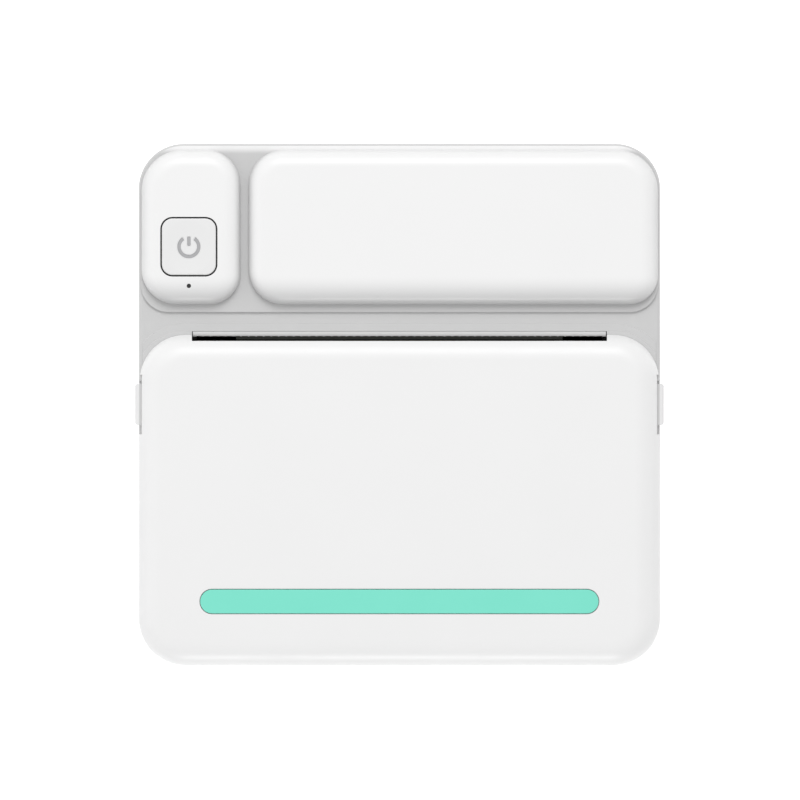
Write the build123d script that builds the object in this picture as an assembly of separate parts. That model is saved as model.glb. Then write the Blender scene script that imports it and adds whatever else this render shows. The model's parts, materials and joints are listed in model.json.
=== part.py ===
from build123d import *
import os
from math import acos, cos, degrees, pi, radians, sin, sqrt, tan

# A pocket thermal printer that lies flat on its back, in millimetres.
# X runs across the paper, Y from the hinge end to the button end, Z up from the table.

# Body outline, seen from above
body_width = 83.0
body_length = 83.0
body_corner = 7.2
wall = 1.8

# Levels, and the steps from one to the next
foot_drop = 0.8
floor_thickness = 2.0
boss_level = 10.0
seam_level = 18.0
upper_height = 19.6
deck_thickness = 1.8
rim_drop = 6.6
cover_rise = 3.0
cover_thickness = 1.6
pod_rise = 3.4

# Rounded outer edges
case_edge = 3.0
deck_edge = 0.7
cover_edge = 4.0
pod_edge = 2.6
button_edge = 0.25
strip_edge = 0.08
foot_edge = 0.3

# Clearances
seam_gap = 0.25
cover_gap = 0.2
running_gap = 0.05
press_gap = 0.02
seat_gap = 0.05
slide_gap = 0.24
meeting_gap = 0.3
pocket_gap = 0.25
lip_gap = 0.08
tab_gap = 0.12
strip_gap = 0.12
port_gap = 0.3
thread_gap = 0.3
past = 1.0
root = 0.2
far = 60.0

# Lip that aligns the two halves of the case
lip_height = 1.5
lip_thickness = 0.8
lip_root = 2.0

# Paper cover, its slot and the steps moulded into the deck around it
panel_start = 26.8
cover_to_panel = 3.4
cover_corner = 7.5
lip_overlap = 0.8
terrace_offsets = (1.7, 0.7)
terrace_rise = 0.12
slot_margin = 8.5
slot_cut = 1.2
slot_gap = 0.7
window_margin = 4.6
window_rear = 0.4

# Tear bar
tear_thickness = 0.8
tear_height = 3.0
tear_rise = 0.2
tear_round = 0.7
tear_pitch = 1.2
tear_tooth = 0.3
tear_tooth_drop = 0.35
tear_end_gap = 0.15

# Hinge of the paper cover
hinge_inset = 3.5
hinge_drop = 5.5
hinge_pin_radius = 1.0
barrel_radius = 2.4
knuckle_start = 14.0
knuckle_width = 12.0
knuckle_root = 0.6
heel_drop = 1.6
heel_inset = 1.0
ear_width = 1.7
ear_radius = 2.8
notch_depth = 4.3

# Pods on the raised panel
panel_inset = 0.35
panel_corner = 4.5
panel_rise = 0.5
pod_wall = 1.4
pod_step = 1.2
pod_end_gap = 1.0
left_pod_inset = 0.5
left_pod_width = 15.7
pod_gap = 1.3
right_pod_inset = 0.4
left_pod_corners = (5.6, 5.0, 6.5, 5.4)
right_pod_corners = (5.6, 4.6, 5.6, 6.5)
panel_pin_radius = 1.2
panel_pin_reach = 0.6
panel_pin_root = 0.3
panel_pin_insets = ((4.5, 5.5), (8.0, 4.7), (7.1, 3.6), (32.0, 2.3))

# Power button and status light
button_from_pod_side = 7.55
button_from_pod_front = 9.17
button_width = 8.6
button_length = 9.0
button_corner = 1.7
button_travel = 0.5
button_dish = 0.22
dish_reach = 4.15
flange_width = 0.7
flange_thickness = 0.8
flange_gap = 0.1
stem_radius = 1.6
sign_outer = 1.86
sign_inner = 1.27
sign_bar_width = 0.59
sign_bar_length = 1.62
sign_opening = 33.0
sign_depth = 0.12
light_from_pod_front = 2.95
light_radius = 0.3
light_board_step = 1.75
light_sink = 0.06
switch_window_side = 2.0
switch_window = 6.5
light_window = 1.4

# Mint strip let into the cover
strip_length = 63.3
strip_width = 3.8
strip_from_end = 10.2
strip_depth = 0.6
strip_proud = 0.06

# Pull tabs at the cover's sides, in shallow finger recesses
tab_width = 6.6
tab_proud = 0.55
tab_drop = 2.4
tab_root = 2.8
tab_edge = 0.45
finger_width = 9.5
finger_depth = 0.6
finger_drop = 2.0

# Liner screwed under the cover
liner_drop = 3.2
liner_thickness = 1.2
liner_inset = 2.2
liner_from_slot = 1.2
liner_from_end = 9.0
skirt_thickness = 1.2
skirt_drop = 2.0
skirt_back_gap = 2.5
skirt_front_gap = 1.4
liner_screw_inset = 6.9
liner_screw_rows = (6.5, 26.5)
liner_screw_length = 4.0

# Gear train beside the drive side plate, from the case wall inwards
train_side_gap = 0.8
axle_head = 0.4
axle_end_gap = 0.1
layer_width = 1.4
layer_pitch = 1.6
gear_side_gap = 0.5
wheel_gap = 0.2
hub_gap = 0.1
gear_hub_radius = 1.5
gear_module = 0.4
pressure_angle = 25.0
gear_backlash = 0.07
mesh_gap = 0.04
root_depth = 1.25
flank_steps = 4
axle_radius = 0.8
axle_head_radius = 1.3
pinion_teeth = 12
first_big_teeth = 36
first_small_teeth = 14
second_big_teeth = 32
second_small_teeth = 14
platen_teeth = 20
first_gear_angle = -80.0
motor_angle = -10.0

# Platen roller, its bearings and holders
platen_radius = 4.5
platen_from_slot = 4.4
platen_drop = 6.6
platen_end_gap = 0.4
shaft_radius = 1.5
shaft_overhang = 1.7
bushing_radius = 2.5
bushing_overhang = 0.1
bushing_flange = 0.3
bushing_flange_rise = 0.5
holder_gap = 0.7
holder_plate = 1.6
holder_radius = 3.6
holder_cut = 0.4
clip_inset = 0.4
clip_width = 0.5
clip_groove = 1.1
clip_rise = 0.9
bay_side_gap = 1.1
bay_top_gap = 0.7
bay_depth = 3.0

# Paper roll bin
bin_side_gap = 0.75
bin_wall = 1.0
roll_margin = 0.5
bin_rear_gap = 5.8
bin_front_gap = 2.5
bin_front_rise = 4.98
bin_side_rise = 7.98
bin_side_back = 4.7
saddle_x = 20.0
saddle_reach = 11.0

# Mechanism frame
side_plate = 1.2
frame_before_platen = 5.5
frame_back_rim = 0.2
frame_foot_rise = 3.0
frame_top_gap = 1.8
drive_back_reach = 8.35
drive_foot_rise = 1.6
drive_top_drop = 6.8
guide_drop = 6.0
guide_reach = 3.3
base_plate_rise = 0.2
mechanism_screw_inset = 6.3
mechanism_screw_reach = 4.8
mechanism_screw_grip = 3.6
notch_gap = 0.2
notch_front_flare = 0.3
notch_back_flare = 1.6
notch_inset = 0.5
shaft_hole_gap = 0.6

# Print head and its springs
paper_gap = 0.15
substrate_thickness = 0.65
substrate_end_gap = 3.5
substrate_drop = 2.5
sink_thickness = 2.25
sink_end_gap = 2.8
head_top_gap = 1.6
head_pivot_drop = 4.8
head_barrel = 1.9
head_pin_radius = 0.8
spring_radius = 1.6
spring_wire = 0.5
spring_x = 18.0
spring_room = 3.9
spring_peg = 1.5
spring_peg_gap = 0.2
back_plate_drop = 3.4

# Flat ribbon from the print head to the board
ribbon_width = 18.0
ribbon_thickness = 0.25
ribbon_front_gap = 0.75
ribbon_low_gap = 1.1
ribbon_end_gap = 0.4
ribbon_bend = 0.8
ribbon_socket_width = 22.0
ribbon_socket_length = 3.2
ribbon_socket_height = 1.3
ribbon_socket_inset = 2.5

# Paper sensor let into the guide
sensor_x = 8.0
sensor_before_platen = 1.2
sensor_half = 1.6
sensor_gap = 0.1
sensor_board_half_x = 4.0
sensor_board_half_y = 2.6
sensor_board_thickness = 0.8

# Stepper motor
motor_radius = 7.5
motor_length = 12.0
motor_edge = 0.6
motor_bore = 3.0
motor_shaft_radius = 0.75
motor_shaft_inside = 2.5
motor_ear_distance = 9.2
motor_ear_angles = (135.0, 315.0)
motor_ear_radius = 2.0
motor_ear_thickness = 0.8
motor_screw_radius = 0.8
motor_screw_head = 0.8
motor_screw_head_radius = 1.5
motor_screw_slot = 0.4
motor_screw_slot_depth = 0.3

# Circuit board and what it carries
board_drop = 8.8
board_thickness = 1.2
board_front_gap = 0.9
board_gap = 0.5
board_corner_cut = 7.6
board_screw_grip = 3.2
standoff_radius = 2.25
standoff_front = 3.1
standoff_back = 2.8
front_standoff_insets = (21.5, 11.5)
back_standoff_insets = (27.5, 15.5)
switch_size = 6.0
switch_height = 3.5
well_floor = 0.8
well_gap = 0.3
plunger_radius = 1.75
plunger_rise = 0.7
light_chip_width = 1.6
light_chip_length = 0.8
light_chip_height = 0.6
pipe_width = 1.6
pipe_gap = 0.3
pipe_bridge_gap = 0.2
pipe_bridge = 1.0
pipe_radius = 0.7
module_x = 8.0
module_width = 13.0
module_length = 10.0
module_end_gap = 1.2
module_board = 0.8
can_inset = 0.6
can_length = 8.8
can_height = 1.8

# Charging socket
socket_width = 8.94
socket_height = 3.26
socket_length = 7.3
socket_corner = 1.3
socket_sheet = 0.3
socket_x = 10.0
socket_inset = 0.5
socket_back = 1.0
tongue_width = 6.6
tongue_thickness = 0.7
tongue_inset = 0.8

# Battery pack
battery_width = 50.0
battery_thickness = 10.0
battery_height = 19.0
battery_corner = 2.0
battery_edge = 0.8
battery_end_gap = 3.1
pad_thickness = 0.8
pad_inset_x = 2.0
pad_inset_y = 0.5
rib_thickness = 1.2
rib_height = 6.0
rib_half = 17.0

# Plug-in sockets and leads under the board
lead_socket_width = 4.4
lead_socket_length = 3.2
lead_socket_height = 2.2
battery_lead_radius = 0.8
battery_lead_rise = 12.0
battery_socket_inset = 9.1
battery_socket_step = 1.2
motor_lead_radius = 0.7
motor_socket_gap = 3.2
motor_socket_step = 3.5
lead_end_gap = 0.1
lead_arc_share = 0.45

# Screws
screw_radius = 1.0
screw_head_radius = 1.9
screw_head = 1.3
screw_inset = 6.3
post_radius = 2.6
low_post_drop = 3.0
counterbore_radius = 2.2
case_screw_length = 10.0
case_screw_seat = 4.6
web_thickness = 1.2

# Rubber feet
foot_radius = 4.0
foot_sink = 0.7
foot_side_inset = 15.5
foot_end_inset = 7.5

# Levels worked out from the sizes above
floor_level = foot_drop + floor_thickness
deck_level = seam_level + upper_height
deck_under = deck_level - deck_thickness
rim_level = deck_level - rim_drop
cover_level = deck_level + cover_rise
cover_under = cover_level - cover_thickness
panel_level = deck_level + panel_rise
pod_level = deck_level + pod_rise
pod_under = pod_level - pod_wall
hinge_z = rim_level - hinge_drop
platen_z = deck_level - platen_drop
guide_level = platen_z - guide_drop
liner_low = cover_under - liner_drop
liner_top = liner_low + liner_thickness
tab_level = cover_level - tab_drop
finger_level = cover_level - finger_drop
board_level = deck_under - board_drop
board_top = board_level + board_thickness
board_carry = board_top + press_gap
plunger_top = board_top + switch_height + plunger_rise
socket_z = board_level - seat_gap - socket_height / 2
lead_top = board_level - lead_socket_height - meeting_gap
frame_foot = floor_level + frame_foot_rise
frame_top = deck_under - frame_top_gap
drive_foot = floor_level + drive_foot_rise
drive_top = platen_z - drive_top_drop
base_plate_low = frame_foot + base_plate_rise
base_plate_high = base_plate_low + side_plate
head_top = deck_under - head_top_gap
head_pivot_z = platen_z - head_pivot_drop
substrate_low = platen_z - substrate_drop
back_plate_z = platen_z - back_plate_drop
battery_low = floor_level + press_gap + pad_thickness + press_gap

# Places along the body
half_length = body_length / 2
hinge_y = hinge_inset - half_length
panel_front = half_length - panel_start
cover_front = panel_front - cover_to_panel
corner_start = cover_front - cover_corner
slot_edge = cover_front - slot_cut
tear_y = slot_edge + slot_gap
tear_back = tear_y + tear_thickness
pod_front = panel_front + pod_step
pod_back = half_length - pod_end_gap
button_y = pod_front + button_from_pod_front
light_y = pod_front + light_from_pod_front
light_board_y = light_y + light_board_step
strip_y = strip_from_end - half_length
liner_front = slot_edge - liner_from_slot
liner_back = liner_from_end - half_length
platen_y = slot_edge - platen_from_slot
frame_start = platen_y - frame_before_platen
head_face = platen_y + platen_radius + paper_gap
sink_face = head_face + substrate_thickness + seat_gap
sink_back = sink_face + sink_thickness
head_pivot_y = (sink_face + sink_back) / 2
back_plate_y = sink_back + spring_room
frame_back = back_plate_y + side_plate + frame_back_rim
guide_end = platen_y + guide_reach
sensor_y = platen_y - sensor_before_platen
board_front = frame_back + board_front_gap
board_back = half_length - wall - board_gap
ribbon_socket_y = board_front + ribbon_socket_inset
battery_y = half_length - wall - battery_end_gap - battery_thickness / 2
module_y = board_back - module_end_gap - module_length
socket_reach = half_length - socket_inset

# The paper bin fills the room between the hinge and the mechanism
bin_back = bin_rear_gap - half_length
bin_front = frame_start - bin_front_gap
bin_y = (bin_back + bin_front) / 2
bin_outer = (bin_front - bin_back) / 2
bin_radius = bin_outer - bin_wall
bin_z = floor_level + press_gap + bin_outer
bin_front_level = bin_z + bin_front_rise
bin_side_level = bin_z + bin_side_rise

# Places across the body
half_width = body_width / 2
slot_half = half_width - slot_margin
left_pod = (left_pod_inset - half_width, left_pod_inset - half_width + left_pod_width)
right_pod = (left_pod[1] + pod_gap, half_width - right_pod_inset)
button_x = left_pod[0] + button_from_pod_side
liner_half = half_width - liner_inset
tab_inner = half_width - tab_root
tab_reach = half_width + tab_proud
axle_end = half_width - wall - train_side_gap
last_layer = axle_end - axle_head - layer_width + axle_end_gap
layers = (last_layer - 2 * layer_pitch, last_layer - layer_pitch, last_layer)
plate_outer = layers[0] - gear_side_gap
frame_inner = plate_outer - side_plate
holder_start = frame_inner - holder_gap - holder_plate
bushing_start = holder_start - bushing_flange
bushing_end = plate_outer + bushing_overhang
platen_half = bushing_start - bushing_flange - platen_end_gap
roll_half = platen_half - roll_margin
bin_half = roll_half + bin_side_gap
sink_half = frame_inner - sink_end_gap
substrate_half = sink_half - substrate_end_gap
shaft_left = plate_outer + shaft_overhang
clip_start = plate_outer + clip_inset
spring_places = (-spring_x, 0.0, spring_x)

# Places of fasteners, feet and sockets
screw_places = [
    (side * (half_width - screw_inset), end * (half_length - screw_inset))
    for side in (-1, 1)
    for end in (-1, 1)
]
foot_places = [
    (side * (half_width - foot_side_inset), end * (half_length - foot_end_inset))
    for side in (-1, 1)
    for end in (-1, 1)
]
liner_screw_places = [
    (side * (half_width - liner_screw_inset), liner_back + row)
    for row in liner_screw_rows
    for side in (-1, 1)
]
mechanism_screw_places = [
    (side * (frame_inner - mechanism_screw_inset), frame_start + mechanism_screw_reach) for side in (-1, 1)
]
standoffs = [
    (front_standoff_insets[0] - half_width, board_front + standoff_front),
    (half_width - front_standoff_insets[1], board_front + standoff_front),
    (back_standoff_insets[0] - half_width, board_back - standoff_back),
    (half_width - back_standoff_insets[1], board_back - standoff_back),
]
panel_pin_places = [
    (left_pod[0] + panel_pin_insets[0][0], pod_back - panel_pin_insets[0][1]),
    (right_pod[0] + panel_pin_insets[1][0], pod_front + panel_pin_insets[1][1]),
    (right_pod[1] - panel_pin_insets[2][0], pod_front + panel_pin_insets[2][1]),
    (right_pod[0] + panel_pin_insets[3][0], pod_back - panel_pin_insets[3][1]),
]
battery_rib_places = [
    battery_y + side * (battery_thickness / 2 + seat_gap + rib_thickness / 2) for side in (-1, 1)
]
battery_socket_place = (battery_socket_inset - half_width, battery_y - battery_socket_step)
motor_socket_place = (
    ribbon_socket_width / 2 + motor_socket_gap + lead_socket_width / 2,
    board_front + motor_socket_step,
)

# Chips on the board: place, width, length and height
chips = (
    (-4.0, board_front + 9.5, 7.0, 7.0, 1.0),
    (-6.0, board_back - 2.2, 5.0, 4.0, 1.2),
    (3.0, board_front + 3.1, 9.0, 4.0, 1.2),
    (20.0, board_front + 3.5, 5.0, 5.0, 1.4),
    (half_width - 6.5, board_front + 8.5, 4.0, 5.0, 3.0),
)


def box_between(low, high):
    """Block between two opposite corners."""
    centre = [(a + b) / 2 for a, b in zip(low, high)]
    size = [b - a for a, b in zip(low, high)]
    return Pos(*centre) * Box(*size)


def rod_x(start, end, y, z, radius):
    """Cylinder that lies across the paper."""
    return Pos((start + end) / 2, y, z) * Rot(0, 90, 0) * Cylinder(radius, end - start)


def rod_y(x, start, end, z, radius):
    """Cylinder that points from the hinge end to the button end."""
    return Pos(x, (start + end) / 2, z) * Rot(90, 0, 0) * Cylinder(radius, end - start)


def rod_z(x, y, low, high, radius):
    """Upright cylinder."""
    return Pos(x, y, (low + high) / 2) * Cylinder(radius, high - low)


def rounded_outline(width, low_y, high_y, corner):
    """Rectangle with round corners, centred on the middle line."""
    return Pos(0, (low_y + high_y) / 2) * RectangleRounded(width, high_y - low_y, corner)


def body_outline(inset):
    """The body seen from above, drawn in by an inset."""
    return rounded_outline(
        body_width - 2 * inset, inset - half_length, half_length - inset, body_corner - inset
    )


def cover_outline(inset):
    """The paper cover seen from above, drawn in by an inset."""
    return rounded_outline(
        body_width - 2 * inset, inset - half_length, cover_front - inset, cover_corner - inset
    )


def slab(outline, low, high):
    """Outline in the XY plane, raised between two levels."""
    return extrude(Pos(0, 0, low) * outline, amount=high - low)


def side_profile(points, start, end):
    """Closed outline of (Y, Z) points, extruded across the paper."""
    face = make_face(Polyline(*points, close=True))
    return extrude(Plane.YZ.offset(start) * face, amount=end - start)


def top_edges(solid):
    """Edges of the highest face."""
    return solid.faces().sort_by(Axis.Z)[-1].edges()


def pan_screw(x, y, seat, length, upward):
    """Cross-head screw with a shank that points up or down from its head's seat."""
    way = 1 if upward else -1
    crown = seat - way * screw_head
    head = rod_z(x, y, *sorted((seat, crown)), screw_head_radius)
    outer = head.faces().sort_by(Axis.Z)[0 if upward else -1]
    head = fillet(outer.edges(), screw_head / 3)
    shank = rod_z(x, y, *sorted((seat, seat + way * length)), screw_radius)
    low, high = sorted((crown, crown + way * screw_head * 0.55))
    reach = screw_head_radius * 0.6
    half = screw_radius * 0.3
    cross = box_between((x - reach, y - half, low), (x + reach, y + half, high))
    cross += box_between((x - half, y - reach, low), (x + half, y + reach, high))
    return head + shank - cross


def corner_webs(x, y, low, high):
    """Two ribs from a corner post to the walls beside it."""
    sx = 1 if x > 0 else -1
    sy = 1 if y > 0 else -1
    wall_x = sx * (half_width - wall / 2)
    wall_y = sy * (half_length - wall / 2)
    half = web_thickness / 2
    along_x = box_between((min(x, wall_x), y - half, low), (max(x, wall_x), y + half, high))
    along_y = box_between((x - half, min(y, wall_y), low), (x + half, max(y, wall_y), high))
    return along_x + along_y


def four_corner_outline(x0, x1, y0, y1, radii):
    """Rectangle whose low left, low right, high left and high right corners have their own radii."""
    face = Pos((x0 + x1) / 2, (y0 + y1) / 2) * Rectangle(x1 - x0, y1 - y0)
    for corner, radius in zip(((x0, y0), (x1, y0), (x0, y1), (x1, y1)), radii):
        vertex = face.vertices().sort_by_distance((*corner, 0))[0]
        face = fillet(vertex, radius)
    return face


# Gear geometry

def gear_radius(teeth):
    """Pitch radius of a wheel."""
    return gear_module * teeth / 2


def flank_angle(radius, teeth):
    """Half the tooth's angle at a radius, in radians, on an involute flank."""
    base = gear_radius(teeth) * cos(radians(pressure_angle))
    pitch_half = (pi * gear_module / 2 - gear_backlash) / 2 / gear_radius(teeth)
    rolled = acos(min(1.0, base / radius))
    pressed = radians(pressure_angle)
    return pitch_half + (tan(pressed) - pressed) - (tan(rolled) - rolled)


def toothed_wheel(teeth, centre, phase, start, width):
    """Involute spur gear about an X axis, with its first tooth at the phase angle."""
    pitch = gear_radius(teeth)
    base = pitch * cos(radians(pressure_angle))
    root_radius = pitch - root_depth * gear_module
    tip = pitch + gear_module
    flank_start = max(base, root_radius + gear_module / 40)
    flank = [flank_start + (tip - flank_start) * i / flank_steps for i in range(flank_steps + 1)]
    points = []
    for tooth in range(teeth):
        middle = radians(phase) + 2 * pi * tooth / teeth
        foot = flank_angle(flank_start, teeth)
        side = [(root_radius, middle - foot)]
        side += [(r, middle - flank_angle(r, teeth)) for r in flank]
        side += [(r, middle + flank_angle(r, teeth)) for r in reversed(flank)]
        side += [(root_radius, middle + foot)]
        points += [(centre[0] + r * cos(a), centre[1] + r * sin(a)) for r, a in side]
    return side_profile(points, start, start + width)


def meshed_phase(angle, teeth, phase, other_teeth):
    """Phase of a gear that meshes with another one, which lies back along the angle from it."""
    return angle + 180 + (angle - phase) * teeth / other_teeth + 180 / other_teeth


def placed_from(centre, angle, teeth, other_teeth):
    """Centre of a meshing gear at an angle from the first gear's centre."""
    distance = gear_radius(teeth) + gear_radius(other_teeth) + mesh_gap
    return (
        centre[0] + distance * cos(radians(angle)),
        centre[1] + distance * sin(radians(angle)),
    )


# The platen gear leaves its neighbour straight along the cover's swing
lift_y = platen_y - hinge_y
lift_z = platen_z - hinge_z
lift_reach = sqrt(lift_y ** 2 + lift_z ** 2)
second_gear_angle = degrees(acos(lift_y / lift_reach)) - 90.0
platen_centre = (platen_y, platen_z)
second_centre = placed_from(platen_centre, second_gear_angle, platen_teeth, second_small_teeth)
first_centre = placed_from(second_centre, first_gear_angle, second_big_teeth, first_small_teeth)
motor_centre = placed_from(first_centre, motor_angle, first_big_teeth, pinion_teeth)
drive_back = motor_centre[0] + drive_back_reach
platen_phase = 0.0
second_small_phase = meshed_phase(second_gear_angle, platen_teeth, platen_phase, second_small_teeth)
second_big_phase = 0.0
first_small_phase = meshed_phase(first_gear_angle, second_big_teeth, second_big_phase, first_small_teeth)
first_big_phase = 0.0
pinion_phase = meshed_phase(motor_angle, first_big_teeth, first_big_phase, pinion_teeth)


# Casing

def make_bottom_case():
    """Tub with corner bosses, foot recesses, saddles for the bin and ribs for the battery."""
    case = slab(body_outline(0), foot_drop, seam_level)
    case = fillet(case.faces().sort_by(Axis.Z)[0].edges(), case_edge)
    case -= slab(body_outline(wall), floor_level, seam_level)
    foot = floor_level - seat_gap
    for x, y in screw_places:
        case += rod_z(x, y, foot, boss_level, post_radius)
        case += corner_webs(x, y, foot, boss_level)
    for x, y in screw_places:
        case -= rod_z(x, y, 0, boss_level - case_screw_seat, counterbore_radius)
        case -= rod_z(x, y, 0, boss_level, screw_radius + running_gap)
    for x, y in foot_places:
        case -= rod_z(x, y, 0, foot_drop + foot_sink, foot_radius + running_gap)
    half = rib_thickness / 2
    rib_top = floor_level + rib_height
    for x in (-saddle_x, saddle_x):
        low = (x - half, bin_y - saddle_reach, foot)
        saddle = box_between(low, (x + half, bin_y + saddle_reach, rib_top))
        case += saddle - rod_x(-far, far, bin_y, bin_z, bin_outer + seat_gap)
    for y in battery_rib_places:
        case += box_between((-rib_half, y - half, foot), (rib_half, y + half, rib_top))
    for x, y in mechanism_screw_places:
        case += rod_z(x, y, foot, base_plate_low, post_radius)
        case -= rod_z(x, y, base_plate_low - mechanism_screw_grip, far, screw_radius + press_gap)
    return case


def knuckle_spans():
    """Start and end of each hinge knuckle along X."""
    return (
        (-knuckle_start - knuckle_width, -knuckle_start),
        (knuckle_start, knuckle_start + knuckle_width),
    )


def ear_spans():
    """Start and end of each hinge ear along X, one on both sides of each knuckle."""
    spans = []
    for start, end in knuckle_spans():
        spans.append((start - meeting_gap - ear_width, start - meeting_gap))
        spans.append((end + meeting_gap, end + meeting_gap + ear_width))
    return spans


def make_case_lip():
    """Ring that hangs from the upper half into the lower one, fused to its wall above the seam."""
    inner = slab(body_outline(wall + running_gap + lip_thickness), 0, far)
    lip = slab(body_outline(wall + running_gap), seam_level - lip_height, seam_level + lip_root)
    ring = slab(body_outline(wall / 2), seam_level + seam_gap, seam_level + lip_root)
    return lip + ring - inner


def make_hinge_ears():
    """Round lugs at the rear wall, one on both sides of each knuckle."""
    ears = []
    for start, end in ear_spans():
        ear = rod_x(start, end, hinge_y, hinge_z, ear_radius)
        ear += box_between(
            (start, wall / 2 - half_length, hinge_z - ear_radius), (end, hinge_y, hinge_z + ear_radius)
        )
        ears.append(ear & slab(body_outline(wall / 2), 0, far))
    return ears


def make_front_frame():
    """Upper body: rim under the cover, deck beyond it, hinge ears and screw posts."""
    frame = slab(body_outline(0), seam_level + seam_gap, deck_level)
    frame = fillet(top_edges(frame), deck_edge)
    for index, reach in enumerate(terrace_offsets):
        rise = terrace_rise * (index + 1)
        terrace = Pos(0, 0, deck_level - seat_gap) * cover_outline(-reach)
        terrace = extrude(terrace, amount=rise + seat_gap, taper=45)
        frame += terrace & slab(body_outline(deck_edge), deck_level - seat_gap, far)
    frame -= slab(body_outline(wall), 0, rim_level)
    room = slab(body_outline(wall), rim_level - past, deck_under)
    frame -= room & box_between((-far, tear_back + window_rear, 0), (far, far, far))
    frame += make_case_lip()
    frame -= slab(cover_outline(lip_overlap - pocket_gap), rim_level, far)
    frame -= box_between((-far, -far, rim_level), (far, corner_start, far))
    window_half = plate_outer + window_margin
    frame -= box_between(
        (-window_half, 0, rim_level - past), (window_half, tear_back + window_rear, deck_under)
    )
    frame -= box_between((-slot_half, 0, rim_level), (slot_half, tear_back + seat_gap, far))
    for x, y in screw_places:
        top = deck_under + root if y > 0 else rim_level - low_post_drop
        frame += rod_z(x, y, boss_level + seat_gap, top, post_radius)
        frame += corner_webs(x, y, seam_level + seam_gap, top)
    for x, y in screw_places:
        grip = boss_level + case_screw_length - case_screw_seat + thread_gap
        frame -= rod_z(x, y, 0, grip, screw_radius + press_gap)
    sweep_room = box_between((-far, -far, hinge_z), (far, hinge_y, far))
    frame -= sweep_room - rod_x(-far, far, hinge_y, hinge_z, hinge_drop)
    for ear in make_hinge_ears():
        frame += ear
    for start, end in knuckle_spans():
        notch_floor = hinge_z - notch_depth
        frame -= box_between(
            (start - meeting_gap, -far, notch_floor), (end + meeting_gap, hinge_y + ear_radius, far)
        )
        reach = meeting_gap + ear_width + root
        frame -= rod_x(start - reach, end + reach, hinge_y, hinge_z, hinge_pin_radius + running_gap)
    for x, y in standoffs:
        frame += rod_z(x, y, board_carry, deck_under + root, standoff_radius)
        frame -= rod_z(x, y, 0, board_top + board_screw_grip, screw_radius + press_gap)
    frame -= box_between(
        (left_pod[0] + switch_window_side, light_y - light_window, deck_under - past),
        (button_x + switch_window, button_y + switch_window, far),
    )
    for x, y in panel_pin_places:
        frame -= rod_z(x, y, deck_under - past, far, panel_pin_radius + running_gap)
    port = Plane.XZ.offset(-far) * Pos(socket_x, socket_z) * RectangleRounded(
        socket_width + 2 * port_gap, socket_height + 2 * port_gap, socket_corner + port_gap
    )
    return frame - extrude(port, amount=far - board_front)


def pod_outlines():
    """The short pod with the button and the long pod, seen from above."""
    short_pod = four_corner_outline(*left_pod, pod_front, pod_back, left_pod_corners)
    long_pod = four_corner_outline(*right_pod, pod_front, pod_back, right_pod_corners)
    return short_pod, long_pod


def make_pod_panel():
    """Raised panel with two hollow pods, the button's opening and the light's pinhole."""
    outline = rounded_outline(
        body_width - 2 * panel_inset, panel_front, half_length - panel_inset, panel_corner
    )
    panel = slab(outline & body_outline(panel_inset), deck_level + press_gap, panel_level)
    for pod in pod_outlines():
        raised = slab(pod, panel_level - seat_gap, pod_level)
        panel += fillet(top_edges(raised), pod_edge)
    for pod in pod_outlines():
        panel -= slab(offset(pod, amount=-pod_wall), 0, pod_under)
    opening = Pos(button_x, button_y) * RectangleRounded(
        button_width + 2 * slide_gap, button_length + 2 * slide_gap, button_corner + slide_gap
    )
    panel -= slab(opening, 0, far)
    panel -= rod_z(button_x, light_y, 0, far, light_radius + running_gap)
    for x, y in panel_pin_places:
        panel += rod_z(x, y, deck_under - panel_pin_reach, pod_under + panel_pin_root, panel_pin_radius)
    return panel


def make_power_sign():
    """Outline of the power sign: an open ring with a bar in its gap."""
    reach = 2 * sign_outer
    gap_x = reach * tan(radians(sign_opening))
    gap = make_face(Polyline((0, 0), (gap_x, reach), (-gap_x, reach), close=True))
    bar = Pos(0, sign_bar_length / 2) * Rectangle(sign_bar_width, sign_bar_length)
    return Circle(sign_outer) - Circle(sign_inner) - gap, bar


def make_power_button():
    """Dished cap with a sunk power sign, a hidden flange and a stem down to the switch."""
    cap_low = pod_under - flange_gap - flange_thickness
    outline = Pos(button_x, button_y) * RectangleRounded(button_width, button_length, button_corner)
    cap = slab(outline, cap_low, pod_level)
    cap = fillet(top_edges(cap), button_edge)
    dish_radius = (dish_reach ** 2 + button_dish ** 2) / (2 * button_dish)
    cap -= Pos(button_x, button_y, pod_level - button_dish + dish_radius) * Sphere(dish_radius)
    wide = Pos(button_x, button_y) * RectangleRounded(
        button_width + 2 * flange_width, button_length + 2 * flange_width, button_corner
    )
    cap += slab(wide, cap_low, cap_low + flange_thickness)
    cap += rod_z(button_x, button_y, plunger_top + press_gap, cap_low, stem_radius)
    sign_floor = pod_level - button_dish - sign_depth
    for shape in make_power_sign():
        cap -= slab(Pos(button_x, button_y) * shape, sign_floor, far)
    return cap


def make_tear_bar():
    """Strip along the far edge of the slot: a rounded top, and teeth in its face below that."""
    half = slot_half - tear_end_gap
    top = deck_level + tear_rise
    low = top - tear_height
    bar = box_between((-half, tear_y, low), (half, tear_back, top))
    front_edge = bar.edges().filter_by(Axis.X).group_by(Axis.Z)[-1].sort_by(Axis.Y)[0]
    bar = fillet(front_edge, tear_round)
    count = int(2 * half / tear_pitch)
    tooth_half = tear_pitch / 2
    for tooth in range(count):
        x = (tooth - (count - 1) / 2) * tear_pitch
        valley = [(x - tooth_half, tear_y), (x, tear_y + tear_tooth), (x + tooth_half, tear_y)]
        valley += [(x + tooth_half, tear_y - past), (x - tooth_half, tear_y - past)]
        outline = make_face(Polyline(*valley, close=True))
        bar -= slab(outline, low - past, top - tear_tooth_drop)
    return bar


# Paper cover

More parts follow.
